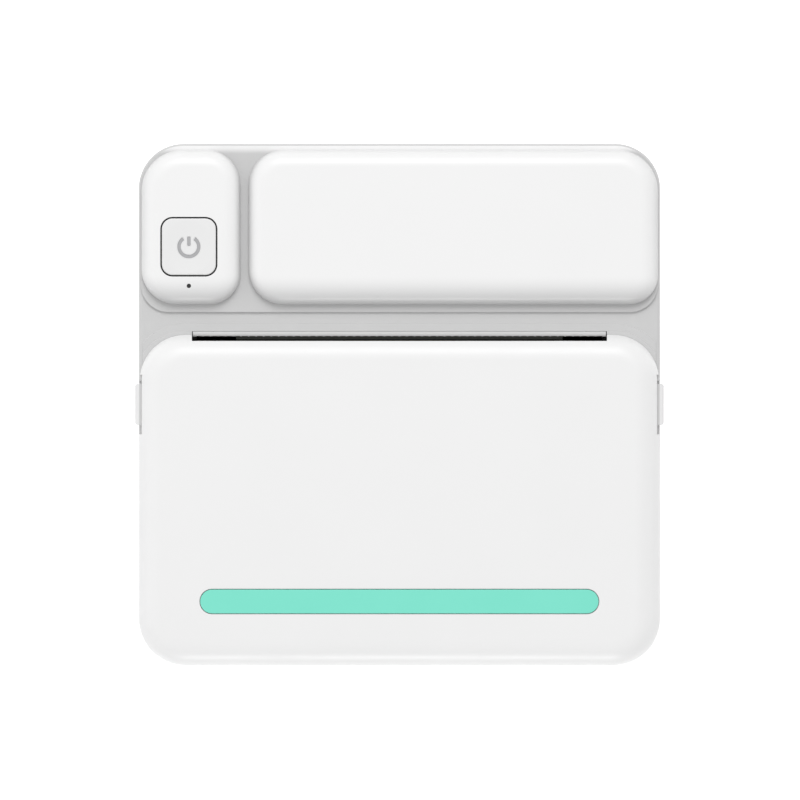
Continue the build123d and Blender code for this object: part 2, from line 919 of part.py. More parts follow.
def make_cover_shell():
    """Outer skin of the paper cover, with its knuckles, strip groove and tab openings."""
    shell = slab(cover_outline(0), hinge_z, cover_level)
    shell = fillet(top_edges(shell), cover_edge)
    skin = shell
    room = slab(cover_outline(wall), hinge_z - past, cover_under)
    shell -= fillet(top_edges(room), cover_edge - wall)
    for start, end in knuckle_spans():
        arm = box_between((start, -half_length, hinge_z), (end, hinge_y + barrel_radius, far))
        shell += arm & skin
    shell -= box_between((-far, hinge_y, 0), (far, far, rim_level + cover_gap))
    shell -= rod_x(-far, far, hinge_y, hinge_z, hinge_drop + cover_gap)
    shell -= box_between((-far, -far, 0), (far, hinge_y, hinge_z))
    for start, end in knuckle_spans():
        shell += make_knuckle(start, end)
    for start, end in knuckle_spans():
        shell -= rod_x(start - past, end + past, hinge_y, hinge_z, hinge_pin_radius + press_gap)
    lip_level = deck_level + terrace_rise * len(terrace_offsets) + lip_gap
    lip_cut = box_between((-far, corner_start - pocket_gap, 0), (far, far, lip_level))
    shell -= lip_cut - slab(cover_outline(lip_overlap), 0, far)
    shell -= box_between((-slot_half, slot_edge, 0), (slot_half, far, far))
    bay_half = layers[0] + layer_width + bay_side_gap
    bay_top = platen_z + platen_radius + bay_top_gap
    shell -= box_between((-bay_half, cover_front - bay_depth, 0), (bay_half, far, bay_top))
    for side in (-1, 1):
        opening_half = tab_width / 2 + tab_gap
        opening_x = sorted((side * (tab_inner - past), side * far))
        opening_top = tab_level + tab_gap
        shell -= box_between((opening_x[0], -opening_half, 0), (opening_x[1], opening_half, opening_top))
        recess_x = sorted((side * (half_width - finger_depth), side * far))
        recess_half = finger_width / 2
        shell -= box_between((recess_x[0], -recess_half, 0), (recess_x[1], recess_half, finger_level))
    groove = Pos(0, strip_y) * SlotOverall(strip_length + 2 * strip_gap, strip_width + 2 * strip_gap)
    shell -= slab(groove, cover_level - strip_depth, far)
    for x, y in liner_screw_places:
        shell += rod_z(x, y, liner_top + seat_gap, cover_under + root, post_radius)
        shell -= rod_z(x, y, 0, liner_low + liner_screw_length + thread_gap, screw_radius + press_gap)
    return shell


def make_knuckle(start, end):
    """Round-backed arm that turns about the hinge pin, flush with the cover's rear face."""
    rear = hinge_y - hinge_inset
    top = hinge_z + hinge_drop + cover_gap + knuckle_root
    arm = box_between((start, rear, hinge_z), (end, hinge_y + barrel_radius, top))
    heel = rod_x(start, end, hinge_y, hinge_z, hinge_inset)
    heel &= box_between((start, rear, hinge_z - heel_drop), (end, hinge_y - heel_inset, hinge_z))
    return arm + heel + rod_x(start, end, hinge_y, hinge_z, barrel_radius)


def make_pull_tab(side):
    """Soft-edged tab from inside the cover out through its side."""
    x = sorted((side * tab_inner, side * tab_reach))
    tab = box_between((x[0], -tab_width / 2, rim_level + 2 * cover_gap), (x[1], tab_width / 2, tab_level))
    outer = tab.faces().sort_by(Axis.X)[-1 if side > 0 else 0]
    return fillet(outer.edges(), tab_edge)


def make_platen_holder(side):
    """Round-ended plate that hangs from the liner and carries one bushing."""
    x = sorted((side * holder_start, side * (holder_start + holder_plate)))
    holder = rod_x(*x, platen_y, platen_z, holder_radius)
    holder += box_between((x[0], platen_y - holder_radius, platen_z), (x[1], liner_front, liner_low + root))
    holder -= box_between((-far, liner_front + holder_cut, platen_z), (far, far, far))
    return holder - rod_x(*x, platen_y, platen_z, bushing_radius + press_gap)


def make_cover_liner():
    """Inner plate of the cover, with side skirts, pull tabs and the platen's two holders."""
    liner = slab(cover_outline(liner_inset), liner_low, liner_top)
    liner &= box_between((-far, liner_back, 0), (far, liner_front, far))
    for side in (-1, 1):
        x = sorted((side * (liner_half - skirt_thickness), side * liner_half))
        skirt = box_between(
            (x[0], liner_back + skirt_back_gap, rim_level - skirt_drop),
            (x[1], liner_front - skirt_front_gap, liner_low),
        )
        liner += skirt & slab(cover_outline(liner_inset), 0, far)
        liner += make_pull_tab(side)
        liner += make_platen_holder(side)
    for x, y in liner_screw_places:
        liner -= rod_z(x, y, 0, far, screw_radius + running_gap)
    return liner


def make_accent_strip():
    """Inlay with round ends, a hair proud of the cover."""
    outline = Pos(0, strip_y) * SlotOverall(strip_length, strip_width)
    strip = slab(outline, cover_level - strip_depth + press_gap, cover_level + strip_proud)
    return fillet(top_edges(strip), strip_edge)


def make_hinge_pins():
    """Two steel pins, each through one knuckle and its ears."""
    pins = []
    for start, end in knuckle_spans():
        reach = meeting_gap + ear_width
        pins.append(rod_x(start - reach, end + reach, hinge_y, hinge_z, hinge_pin_radius))
    return Compound(children=pins)


def make_platen_bushings():
    """Flanged bearings that the platen shaft turns in."""
    bushings = []
    for side in (-1, 1):
        x = sorted((side * bushing_start, side * bushing_end))
        bushing = rod_x(*x, platen_y, platen_z, bushing_radius)
        flange = sorted((side * (bushing_start - bushing_flange), side * (holder_start - press_gap)))
        bushing += rod_x(*flange, platen_y, platen_z, bushing_radius + bushing_flange_rise)
        bushing -= rod_x(-far, far, platen_y, platen_z, shaft_radius + running_gap)
        bushings.append(bushing)
    return Compound(children=bushings)


# Platen roller

def make_platen_shaft():
    """Steel shaft with a groove for its clip at one end."""
    shaft = rod_x(-shaft_left, layers[0] + layer_width, platen_y, platen_z, shaft_radius)
    groove = rod_x(-clip_start - clip_width, -clip_start, platen_y, platen_z, shaft_radius + past)
    return shaft - (groove - rod_x(-far, far, platen_y, platen_z, clip_groove))


def make_platen_rubber():
    """Sleeve that grips the paper."""
    sleeve = rod_x(-platen_half, platen_half, platen_y, platen_z, platen_radius)
    return sleeve - rod_x(-far, far, platen_y, platen_z, shaft_radius + press_gap)


def make_platen_gear():
    """Plain spur gear on the end of the shaft."""
    gear = toothed_wheel(platen_teeth, platen_centre, platen_phase, layers[0], layer_width)
    return gear - rod_x(0, far, platen_y, platen_z, shaft_radius + press_gap)


def make_platen_clip():
    """Open ring that snaps into the shaft's groove."""
    low = -clip_start - clip_width + press_gap
    high = -clip_start - press_gap
    clip = rod_x(low, high, platen_y, platen_z, shaft_radius + clip_rise)
    clip -= rod_x(low, high, platen_y, platen_z, clip_groove + press_gap)
    return clip - box_between((low, platen_y - clip_groove, platen_z), (high, platen_y + clip_groove, far))


# Gear train and motor

def make_compound_gear(centre, outer, big_teeth, big_phase, small_teeth, small_phase):
    """Large wheel in an outer layer, small wheel in the layer inside it, and a hub to the side plate."""
    gear = toothed_wheel(big_teeth, centre, big_phase, layers[outer], layer_width - wheel_gap)
    gear += toothed_wheel(small_teeth, centre, small_phase, layers[outer - 1], layer_pitch)
    gear += rod_x(plate_outer + hub_gap, layers[outer - 1], *centre, gear_hub_radius)
    return gear - rod_x(0, far, *centre, axle_radius + running_gap)


def make_first_gear():
    """Large wheel beside the motor pinion, small wheel towards the second gear."""
    return make_compound_gear(
        first_centre, 2, first_big_teeth, first_big_phase, first_small_teeth, first_small_phase
    )


def make_second_gear():
    """Large wheel driven by the first gear, small wheel under the platen gear."""
    return make_compound_gear(
        second_centre, 1, second_big_teeth, second_big_phase, second_small_teeth, second_small_phase
    )


def make_gear_axles():
    """Two headed steel pins, fixed in the drive side plate."""
    axles = []
    for centre, layer in ((first_centre, layers[2]), (second_centre, layers[1])):
        top = layer + layer_width - axle_end_gap
        axle = rod_x(frame_inner + hub_gap, top, *centre, axle_radius)
        axles.append(axle + rod_x(top, top + axle_head, *centre, axle_head_radius))
    return Compound(children=axles)


def motor_ears(start, end, radius):
    """Rods at the motor's two fixing ears."""
    rods = []
    for angle in motor_ear_angles:
        y = motor_centre[0] + motor_ear_distance * cos(radians(angle))
        z = motor_centre[1] + motor_ear_distance * sin(radians(angle))
        rods.append(rod_x(start, end, y, z, radius))
    return rods


def make_motor_body():
    """Can of the stepper motor with two fixing ears."""
    front = frame_inner - seat_gap
    body = rod_x(front - motor_length, front, *motor_centre, motor_radius)
    body = fillet(body.faces().sort_by(Axis.X)[0].edges(), motor_edge)
    flange_back = front - motor_ear_thickness
    for ear in motor_ears(flange_back, front, motor_ear_radius):
        middle = ear.center()
        link_place = Pos(middle.X, (middle.Y + motor_centre[0]) / 2, (middle.Z + motor_centre[1]) / 2)
        link = Box(motor_ear_thickness, motor_ear_distance, 2 * motor_ear_radius)
        body += ear + link_place * Rot(motor_ear_angles[0], 0, 0) * link
    for hole in motor_ears(flange_back - past, front + past, motor_screw_radius + running_gap):
        body -= hole
    return body - rod_x(front - motor_bore, front + past, *motor_centre, motor_shaft_radius + running_gap)


def make_motor_screws():
    """Two small screws from outside the side plate into the motor's ears."""
    screws = []
    seat = plate_outer + press_gap
    top = plate_outer + motor_screw_head
    heads = motor_ears(seat, top, motor_screw_head_radius)
    shanks = motor_ears(frame_inner - motor_ear_thickness, seat, motor_screw_radius)
    for head, shank in zip(heads, shanks):
        slot = Box(2 * motor_screw_slot_depth, 2 * motor_screw_head_radius - root, motor_screw_slot)
        screws.append(head + shank - Pos(top, head.center().Y, head.center().Z) * slot)
    return Compound(children=screws)


def make_motor_shaft():
    """Steel shaft from inside the can to the pinion."""
    end = layers[2] + layer_width - wheel_gap
    return rod_x(frame_inner - motor_shaft_inside, end, *motor_centre, motor_shaft_radius)


def make_motor_pinion():
    """Brass pinion in the outermost layer."""
    pinion = toothed_wheel(pinion_teeth, motor_centre, pinion_phase, layers[2], layer_width - wheel_gap)
    return pinion - rod_x(0, far, *motor_centre, motor_shaft_radius + press_gap)


# Mechanism frame and print head

def bushing_notch(start, end):
    """Notch that opens upwards and towards the hinge, so that the bushing can swing out."""
    radius = bushing_radius + notch_gap
    mouth = [
        (platen_y - radius, platen_z),
        (platen_y + radius, platen_z),
        (platen_y + radius + notch_front_flare, frame_top + past),
        (platen_y - radius - notch_back_flare, frame_top + past),
    ]
    return rod_x(start, end, platen_y, platen_z, radius) + side_profile(mouth, start, end)


def make_mechanism_frame():
    """Two side plates joined by a paper guide, a base plate and a back plate."""
    frame = box_between((-plate_outer, frame_start, frame_foot), (-frame_inner, frame_back, frame_top))
    frame += box_between((frame_inner, frame_start, frame_foot), (plate_outer, frame_back, frame_top))
    frame += box_between((frame_inner, frame_start, drive_foot), (plate_outer, drive_back, drive_top))
    guide_low = guide_level - side_plate
    frame += box_between((-frame_inner, frame_start, guide_low), (frame_inner, guide_end, guide_level))
    frame += box_between(
        (-frame_inner, frame_start, base_plate_low), (frame_inner, guide_end, base_plate_high)
    )
    frame += box_between(
        (-frame_inner, back_plate_y, back_plate_z), (frame_inner, back_plate_y + side_plate, frame_top)
    )
    for x in spring_places:
        peg_radius = spring_radius - spring_wire - spring_peg_gap
        frame += rod_y(x, back_plate_y - spring_peg, back_plate_y + root, platen_z, peg_radius)
    frame -= bushing_notch(-far, notch_inset - frame_inner)
    frame -= bushing_notch(frame_inner - notch_inset, far)
    frame -= rod_x(-far, far, head_pivot_y, head_pivot_z, head_pin_radius + press_gap)
    for centre in (first_centre, second_centre):
        frame -= rod_x(frame_inner - past, far, *centre, axle_radius + press_gap)
    frame -= rod_x(frame_inner - past, far, *motor_centre, motor_shaft_radius + shaft_hole_gap)
    for hole in motor_ears(frame_inner - past, far, motor_screw_radius + running_gap):
        frame -= hole
    for x, y in mechanism_screw_places:
        frame -= rod_z(x, y, 0, base_plate_high + past, screw_radius + running_gap)
    window = sensor_half + sensor_gap
    return frame - box_between(
        (sensor_x - window, sensor_y - window, guide_low - past),
        (sensor_x + window, sensor_y + window, guide_level + past),
    )


def make_paper_sensor():
    """Small reflective sensor let into the paper guide, on its own little board."""
    low = guide_level - side_plate - sensor_gap
    sensor = box_between(
        (sensor_x - sensor_half, sensor_y - sensor_half, low),
        (sensor_x + sensor_half, sensor_y + sensor_half, guide_level - sensor_gap),
    )
    return sensor + box_between(
        (sensor_x - sensor_board_half_x, sensor_y - sensor_board_half_y, low - sensor_board_thickness),
        (sensor_x + sensor_board_half_x, sensor_y + sensor_board_half_y, low + seat_gap),
    )


def make_head_heatsink():
    """Aluminium plate with a barrel for the pivot pin along its lower edge."""
    sink = box_between((-sink_half, sink_face, head_pivot_z), (sink_half, sink_back, head_top))
    sink += rod_x(-sink_half, sink_half, head_pivot_y, head_pivot_z, head_barrel)
    return sink - rod_x(-far, far, head_pivot_y, head_pivot_z, head_pin_radius + running_gap)


def make_head_substrate():
    """Ceramic strip that faces the platen."""
    back = head_face + substrate_thickness
    return box_between((-substrate_half, head_face, substrate_low), (substrate_half, back, head_top))


def make_head_pivot_pin():
    """Steel pin across both side plates."""
    return rod_x(-plate_outer, plate_outer, head_pivot_y, head_pivot_z, head_pin_radius)


def make_head_springs():
    """Three short springs behind the heat sink, as plain sleeves."""
    springs = []
    for x in spring_places:
        outer = rod_y(x, sink_back + meeting_gap, back_plate_y - press_gap, platen_z, spring_radius)
        inner = rod_y(x, sink_back, back_plate_y, platen_z, spring_radius - spring_wire)
        springs.append(outer - inner)
    return Compound(children=springs)


def make_head_ribbon():
    """Flat ribbon from under the heater strip, below the pivot and up to the board."""
    front = head_pivot_y - head_barrel - ribbon_front_gap
    low = head_pivot_z - head_barrel - ribbon_low_gap
    high = substrate_low - ribbon_end_gap
    socket_low = board_level - ribbon_socket_height - press_gap
    points = [(0, front, high), (0, front, low), (0, ribbon_socket_y, low), (0, ribbon_socket_y, socket_low)]
    path = FilletPolyline(*points, radius=ribbon_bend)
    section = Plane(points[0], x_dir=(1, 0, 0), z_dir=(0, 0, -1)) * Rectangle(ribbon_width, ribbon_thickness)
    return sweep(section, path=path)


def make_paper_bin():
    """Round-bottomed bin for the paper roll, low at the hinge and higher at the sides."""
    back_level = hinge_z - notch_depth - meeting_gap
    side_back = bin_back + bin_side_back
    side_half = bin_half + bin_wall
    upper = box_between((-side_half, bin_back, bin_z), (side_half, bin_front, bin_front_level))
    upper -= box_between((-far, -far, back_level), (far, side_back, far))
    shape = rod_x(-side_half, side_half, bin_y, bin_z, bin_outer) + upper
    shape &= box_between((-far, -far, 0), (far, bin_front, back_level)) + upper
    for side in (-1, 1):
        x = sorted((side * bin_half, side * side_half))
        shape += box_between((x[0], side_back, bin_z), (x[1], bin_front, bin_side_level))
    shape -= rod_x(-bin_half, bin_half, bin_y, bin_z, bin_radius)
    return shape - box_between((-bin_half, bin_y - bin_radius, bin_z), (bin_half, bin_y + bin_radius, far))


# Electronics

def make_main_board():
    """Board over the battery, with cut corners for the case's screw posts."""
    half = half_width - wall - board_gap
    board = box_between((-half, board_front, board_level), (half, board_back, board_top))
    for side in (-1, 1):
        x = sorted((side * (half - board_corner_cut), side * far))
        board -= box_between((x[0], board_back - board_corner_cut, 0), (x[1], far, far))
    for x, y in standoffs:
        board -= rod_z(x, y, 0, far, screw_radius + running_gap)
    return board


def make_board_chips():
    """Controller, driver, memory and charger chips, with the large capacitor."""
    blocks = []
    for x, y, width, length, height in chips:
        low = (x - width / 2, y - length / 2, board_carry)
        blocks.append(box_between(low, (x + width / 2, y + length / 2, board_carry + height)))
    return Compound(children=blocks)


def make_wireless_module():
    """Small board with a shielding can and a bare antenna end."""
    x = module_x
    y = module_y
    can_low = board_carry + module_board
    module = box_between((x, y, board_carry), (x + module_width, y + module_length, can_low))
    return module + box_between(
        (x + can_inset, y + can_inset, can_low),
        (x + can_inset + can_length, y + module_length - can_inset, can_low + can_height),
    )


def make_usb_socket():
    """Charging socket: a rounded steel sleeve with a tongue inside."""
    outer = RectangleRounded(socket_width, socket_height, socket_corner)
    inner = RectangleRounded(
        socket_width - 2 * socket_sheet, socket_height - 2 * socket_sheet, socket_corner - socket_sheet
    )
    plane = Plane.XZ.offset(-socket_reach) * Pos(socket_x, socket_z)
    socket = extrude(plane * outer, amount=socket_length)
    socket -= extrude(plane * inner, amount=socket_length - socket_back)
    half = tongue_width / 2
    back = socket_reach - socket_length + socket_back / 2
    return socket + box_between(
        (socket_x - half, back, socket_z - tongue_thickness / 2),
        (socket_x + half, socket_reach - tongue_inset, socket_z + tongue_thickness / 2),
    )


def make_switch_base():
    """Push switch body under the power button, with a well for its plunger."""
    half = switch_size / 2
    base = box_between(
        (button_x - half, button_y - half, board_carry),
        (button_x + half, button_y + half, board_top + switch_height),
    )
    return base - rod_z(button_x, button_y, board_carry + well_floor, far, plunger_radius + running_gap)


def make_switch_plunger():
    """Round plunger that stands in the switch's well."""
    low = board_carry + well_floor + button_travel + well_gap
    return rod_z(button_x, button_y, low, plunger_top, plunger_radius)


def make_status_light():
    """Tiny light on the board, beside the foot of its pipe."""
    half_x = light_chip_width / 2
    half_y = light_chip_length / 2
    return box_between(
        (button_x - half_x, light_board_y - half_y, board_carry),
        (button_x + half_x, light_board_y + half_y, board_carry + light_chip_height),
    )


def make_light_pipe():
    """Clear dog-leg from above the light on the board to the pinhole in the pod."""
    half = pipe_width / 2
    low = board_carry + light_chip_height + pipe_gap
    bridge_low = deck_under + pipe_bridge_gap
    bridge_high = bridge_low + pipe_bridge
    left = button_x - half
    right = button_x + half
    pipe = box_between((left, light_board_y - half, low), (right, light_board_y, bridge_high))
    pipe += box_between((left, light_y - half, bridge_low), (right, light_board_y, bridge_high))
    pipe += rod_z(button_x, light_y, bridge_high - seat_gap, pod_under - flange_gap, pipe_radius)
    return pipe + rod_z(button_x, light_y, bridge_high, pod_level - light_sink, light_radius)


def make_ribbon_socket():
    """Flat socket under the board for the ribbon from the print head."""
    half = ribbon_socket_width / 2
    half_length_y = ribbon_socket_length / 2
    return box_between(
        (-half, ribbon_socket_y - half_length_y, board_level - ribbon_socket_height),
        (half, ribbon_socket_y + half_length_y, board_level - press_gap),
    )


def make_battery():
    """Flat cell on its edge, with softly rounded long edges."""
    outline = Pos(0, battery_y) * RectangleRounded(battery_width, battery_thickness, battery_corner)
    cell = slab(outline, battery_low, battery_low + battery_height)
    return fillet(top_edges(cell), battery_edge)


def make_battery_pad():
    """Foam strip under the cell."""
    low = floor_level + press_gap
    half_x = battery_width / 2 - pad_inset_x
    half_y = battery_thickness / 2 - pad_inset_y
    return box_between((-half_x, battery_y - half_y, low), (half_x, battery_y + half_y, low + pad_thickness))


def make_lead_sockets():
    """Two plug-in sockets under the board, for the battery lead and the motor lead."""
    sockets = []
    half_x = lead_socket_width / 2
    half_y = lead_socket_length / 2
    for x, y in (battery_socket_place, motor_socket_place):
        low = (x - half_x, y - half_y, board_level - lead_socket_height)
        sockets.append(box_between(low, (x + half_x, y + half_y, board_level - press_gap)))
    return Compound(children=sockets)


def swept_lead(points, radius):
    """Round lead on straight runs joined by arcs as large as the runs allow."""
    radii = []
    for before, here, after in zip(points, points[1:], points[2:]):
        run_in = Vector(*here) - Vector(*before)
        run_out = Vector(*after) - Vector(*here)
        half_turn = radians(run_in.get_angle(run_out)) / 2
        radii.append(lead_arc_share * min(run_in.length, run_out.length) / tan(half_turn))
    path = FilletPolyline(*points, radius=radii)
    lead = sweep(Plane(origin=path @ 0, z_dir=path % 0) * Circle(radius), path=path)
    section = pi * radius ** 2
    print("lead radii", [round(r, 2) for r in radii])
    print("volume over section times length", round(lead.volume / (section * path.length), 4))
    return lead


def make_battery_lead():
    """Pair of wires in a sleeve, from the cell's end up to its socket."""
    x, y = battery_socket_place
    start = -battery_width / 2 - lead_end_gap
    level = battery_low + battery_lead_rise
    points = [
        (start, battery_y, level),
        (start - 5.5, battery_y - 0.3, level + 0.3),
        (x + 0.2, y + 0.3, level + 4.2),
        (x, y, lead_top),
    ]
    return swept_lead(points, battery_lead_radius)


def make_motor_lead():
    """Four thin wires in a sleeve, from the motor's end up to its socket."""
    x, y = motor_socket_place
    start = frame_inner - seat_gap - motor_length - lead_end_gap
    points = [
        (start, motor_centre[0] - 1.0, motor_centre[1] + 1.0),
        (start - 5.3, motor_centre[0] - 0.8, motor_centre[1] + 1.4),
        (x - 0.5, y - 2.2, motor_centre[1] + 6.4),
        (x, y, lead_top),
    ]
    return swept_lead(points, motor_lead_radius)


# Fasteners and feet

def make_screws(places, seat, length, upward):
    """One screw at each place, as a group of separate solids."""
    return Compound(children=[pan_screw(x, y, seat, length, upward) for x, y in places])


def make_case_screws():
    """Long screws up through the corner bosses."""
    return make_screws(screw_places, boss_level - case_screw_seat - press_gap, case_screw_length, True)


def make_mechanism_screws():
    """Screws down through the base plate into the case's posts."""
    length = base_plate_high - base_plate_low + mechanism_screw_grip - thread_gap
    return make_screws(mechanism_screw_places, base_plate_high + press_gap, length, False)


def make_board_screws():
    """Screws up through the board into the deck's standoffs."""
    length = board_thickness + board_screw_grip - thread_gap
    return make_screws(standoffs, board_level - press_gap, length, True)


def make_cover_screws():
    """Screws up through the liner into the cover's posts."""
    return make_screws(liner_screw_places, liner_low - press_gap, liner_screw_length, True)


def make_rubber_feet():
    """Four round feet, glued into their recesses."""
    feet = []
    for x, y in foot_places:
        foot = rod_z(x, y, 0, foot_drop + foot_sink - press_gap, foot_radius)
        feet.append(fillet(foot.faces().sort_by(Axis.Z)[0].edges(), foot_edge))
    return Compound(children=feet)


nodes = {
    "bottom_case": make_bottom_case,
    "front_frame": make_front_frame,
    "pod_panel": make_pod_panel,
    "tear_bar": make_tear_bar,
    "rubber_feet": make_rubber_feet,
    "case_screws": make_case_screws,
    "paper_bin": make_paper_bin,
    "cover_shell": make_cover_shell,
    "cover_liner": make_cover_liner,
    "accent_strip": make_accent_strip,
    "cover_screws": make_cover_screws,
    "hinge_pins": make_hinge_pins,
    "platen_bushings": make_platen_bushings,
    "platen_shaft": make_platen_shaft,
    "platen_rubber": make_platen_rubber,
    "platen_gear": make_platen_gear,
    "platen_clip": make_platen_clip,
    "mechanism_frame": make_mechanism_frame,
    "mechanism_screws": make_mechanism_screws,
    "gear_axles": make_gear_axles,
    "first_gear": make_first_gear,
    "second_gear": make_second_gear,
    "motor_body": make_motor_body,
    "motor_screws": make_motor_screws,
    "motor_shaft": make_motor_shaft,
    "motor_pinion": make_motor_pinion,
    "head_heatsink": make_head_heatsink,
    "head_substrate": make_head_substrate,
    "head_pivot_pin": make_head_pivot_pin,
    "head_springs": make_head_springs,
    "head_ribbon": make_head_ribbon,
    "paper_sensor": make_paper_sensor,
    "main_board": make_main_board,
    "board_screws": make_board_screws,
    "board_chips": make_board_chips,
    "wireless_module": make_wireless_module,
    "usb_socket": make_usb_socket,
    "switch_base": make_switch_base,
    "switch_plunger": make_switch_plunger,
    "power_button": make_power_button,
    "status_light": make_status_light,
    "light_pipe": make_light_pipe,
    "ribbon_socket": make_ribbon_socket,
    "lead_sockets": make_lead_sockets,
    "battery": make_battery,
    "battery_pad": make_battery_pad,
    "battery_lead": make_battery_lead,
    "motor_lead": make_motor_lead,
}
os.makedirs("parts", exist_ok=True)
for name, make in nodes.items():
    export_step(make(), f"parts/{name}.step")
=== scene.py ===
import json
from math import pi, radians, tau

import bpy
import numpy as np
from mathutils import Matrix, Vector


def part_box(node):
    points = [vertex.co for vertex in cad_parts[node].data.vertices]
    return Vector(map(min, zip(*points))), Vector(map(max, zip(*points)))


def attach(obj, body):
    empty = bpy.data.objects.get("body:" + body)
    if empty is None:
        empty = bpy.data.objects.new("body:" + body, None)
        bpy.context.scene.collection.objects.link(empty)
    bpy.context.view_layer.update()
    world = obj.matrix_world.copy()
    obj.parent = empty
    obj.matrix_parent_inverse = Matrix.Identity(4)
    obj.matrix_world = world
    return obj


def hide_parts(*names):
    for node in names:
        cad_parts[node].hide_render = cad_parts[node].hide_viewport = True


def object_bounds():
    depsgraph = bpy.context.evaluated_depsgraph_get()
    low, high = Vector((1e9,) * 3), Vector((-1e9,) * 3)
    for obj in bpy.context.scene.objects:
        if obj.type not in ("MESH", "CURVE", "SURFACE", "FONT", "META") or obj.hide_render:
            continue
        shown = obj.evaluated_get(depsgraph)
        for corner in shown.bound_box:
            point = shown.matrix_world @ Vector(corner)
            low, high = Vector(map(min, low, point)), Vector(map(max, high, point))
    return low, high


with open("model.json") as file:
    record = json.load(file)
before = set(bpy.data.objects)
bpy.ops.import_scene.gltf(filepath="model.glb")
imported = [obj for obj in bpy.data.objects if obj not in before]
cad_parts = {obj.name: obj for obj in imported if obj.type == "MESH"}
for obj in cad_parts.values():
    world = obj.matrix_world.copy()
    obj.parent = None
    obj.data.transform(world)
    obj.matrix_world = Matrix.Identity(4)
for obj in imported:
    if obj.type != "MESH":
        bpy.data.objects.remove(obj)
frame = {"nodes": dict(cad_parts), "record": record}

cad_low, cad_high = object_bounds()
nodes = frame["nodes"]
mm = 0.001


# Camera and its framing: sizes of the picture in pixels, distances in metres

image_size = 800
body_pixels = 522.0
origin_pixel = (399.4, 404.5)
sensor_width = 36.0
camera_distance = 3.0
outline_drop = 2.5 * mm
case_low, case_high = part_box("bottom_case")
pixel = (case_high.x - case_low.x) / body_pixels


def make_camera():
    """Camera straight above the object, whose long lens fits the outline to the photograph's frame."""
    data = bpy.data.cameras.new("camera")
    data.sensor_width = sensor_width
    data.lens = sensor_width * (camera_distance + outline_drop) / (image_size * pixel)
    camera = bpy.data.objects.new("camera", data)
    middle_x = (image_size / 2 - origin_pixel[0]) * pixel
    middle_y = (origin_pixel[1] - image_size / 2) * pixel
    camera.location = (middle_x, middle_y, cad_high.z + camera_distance)
    bpy.context.scene.collection.objects.link(camera)
    bpy.context.scene.camera = camera


# Shader maths

class Link:
    """An output socket of a material. Arithmetic on it adds Math nodes."""

    def __init__(self, paint, socket):
        self.paint = paint
        self.socket = socket

    def maths(self, operation, *values):
        return self.paint.node("ShaderNodeMath", {"operation": operation}, *values)

    def __add__(self, other):
        return self.maths("ADD", self, other)

    def __sub__(self, other):
        return self.maths("SUBTRACT", self, other)

    def __rsub__(self, other):
        return self.maths("SUBTRACT", other, self)

    def __mul__(self, other):
        return self.maths("MULTIPLY", self, other)

    def __abs__(self):
        return self.maths("ABSOLUTE", self)

    def __gt__(self, other):
        return self.maths("GREATER_THAN", self, other)

    def __lt__(self, other):
        return self.maths("LESS_THAN", self, other)

    __radd__ = __add__
    __rmul__ = __mul__

    def sine(self):
        return self.maths("SINE", self)

    def larger(self, other):
        return self.maths("MAXIMUM", self, other)

    def step(self, low, high):
        """Smooth rise from 0 at low to 1 at high."""
        settings = {"interpolation_type": "SMOOTHSTEP"}
        return self.paint.node("ShaderNodeMapRange", settings, self, low, high, 0.0, 1.0)


class Paint:
    """A material whose shader is fed by expressions on the piece's own coordinates, in metres."""

    def __init__(self, name, **steady):
        self.material = bpy.data.materials.new(name)
        self.material.use_nodes = True
        self.tree = self.material.node_tree
        self.shader = self.tree.nodes["Principled BSDF"]
        for socket, value in steady.items():
            self.shader.inputs[socket.replace("_", " ")].default_value = value
        self.place = self.node("ShaderNodeTexCoord", {}, output="Object")
        self.x, self.y, self.z = (
            self.node("ShaderNodeSeparateXYZ", {}, self.place, output=axis) for axis in range(3)
        )

    def node(self, kind, settings, *values, output=0, **named):
        """Adds a node of a kind: its settings first, then the values or links of its sockets.
        A value of None leaves its socket alone, and a colour gets its alpha here."""
        made = self.tree.nodes.new(kind)
        for key, value in settings.items():
            setattr(made, key, value)
        sockets = list(zip(made.inputs, values))
        sockets += [(made.inputs[key], value) for key, value in named.items()]
        for socket, value in sockets:
            if isinstance(value, Link):
                self.tree.links.new(value.socket, socket)
            elif value is not None:
                socket.default_value = (*value, 1.0) if socket.type == "RGBA" else value
        return Link(self, made.outputs[output])

    def stretched(self, x, y, z):
        """The piece's coordinates, multiplied axis by axis."""
        return self.node("ShaderNodeVectorMath", {"operation": "MULTIPLY"}, self.place, (x, y, z))

    def noise(self, scale, detail=3.0, roughness=0.55, place=None):
        """Cloudy noise about 0.5, with scale spots a metre."""
        sockets = {"Vector": place or self.place, "Scale": scale, "Detail": detail, "Roughness": roughness}
        return self.node("ShaderNodeTexNoise", {}, **sockets)

    def cells(self, scale, feature="F1"):
        """Distance to the nearest of scattered points, or to the border between them."""
        return self.node("ShaderNodeTexVoronoi", {"feature": feature}, Vector=self.place, Scale=scale)

    def rise_to(self, top, depths):
        """Smooth rise from 0 to 1 between two depths under a top."""
        start, end = depths
        return self.z.step(top - start, top - end)

    def mix(self, share, first, second):
        """Colour between two colours or links of colours, past the five inputs for other kinds of mix."""
        skipped = [None] * 5
        return self.node("ShaderNodeMix", {"data_type": "RGBA"}, share, *skipped, first, second, output=2)

    def feed(self, **links):
        """Feeds the shader's sockets, such as Base_Color or Roughness."""
        for name, link in links.items():
            self.tree.links.new(link.socket, self.shader.inputs[name.replace("_", " ")])

    def relief(self, height, depth):
        """Bump in which a height of 1 stands a depth in metres above a height of 0."""
        self.feed(Normal=self.node("ShaderNodeBump", {}, Height=height, Distance=depth, output="Normal"))


def toned(colour, factor):
    """A colour times a factor, at most 1."""
    return tuple(min(1.0, channel * factor) for channel in colour)


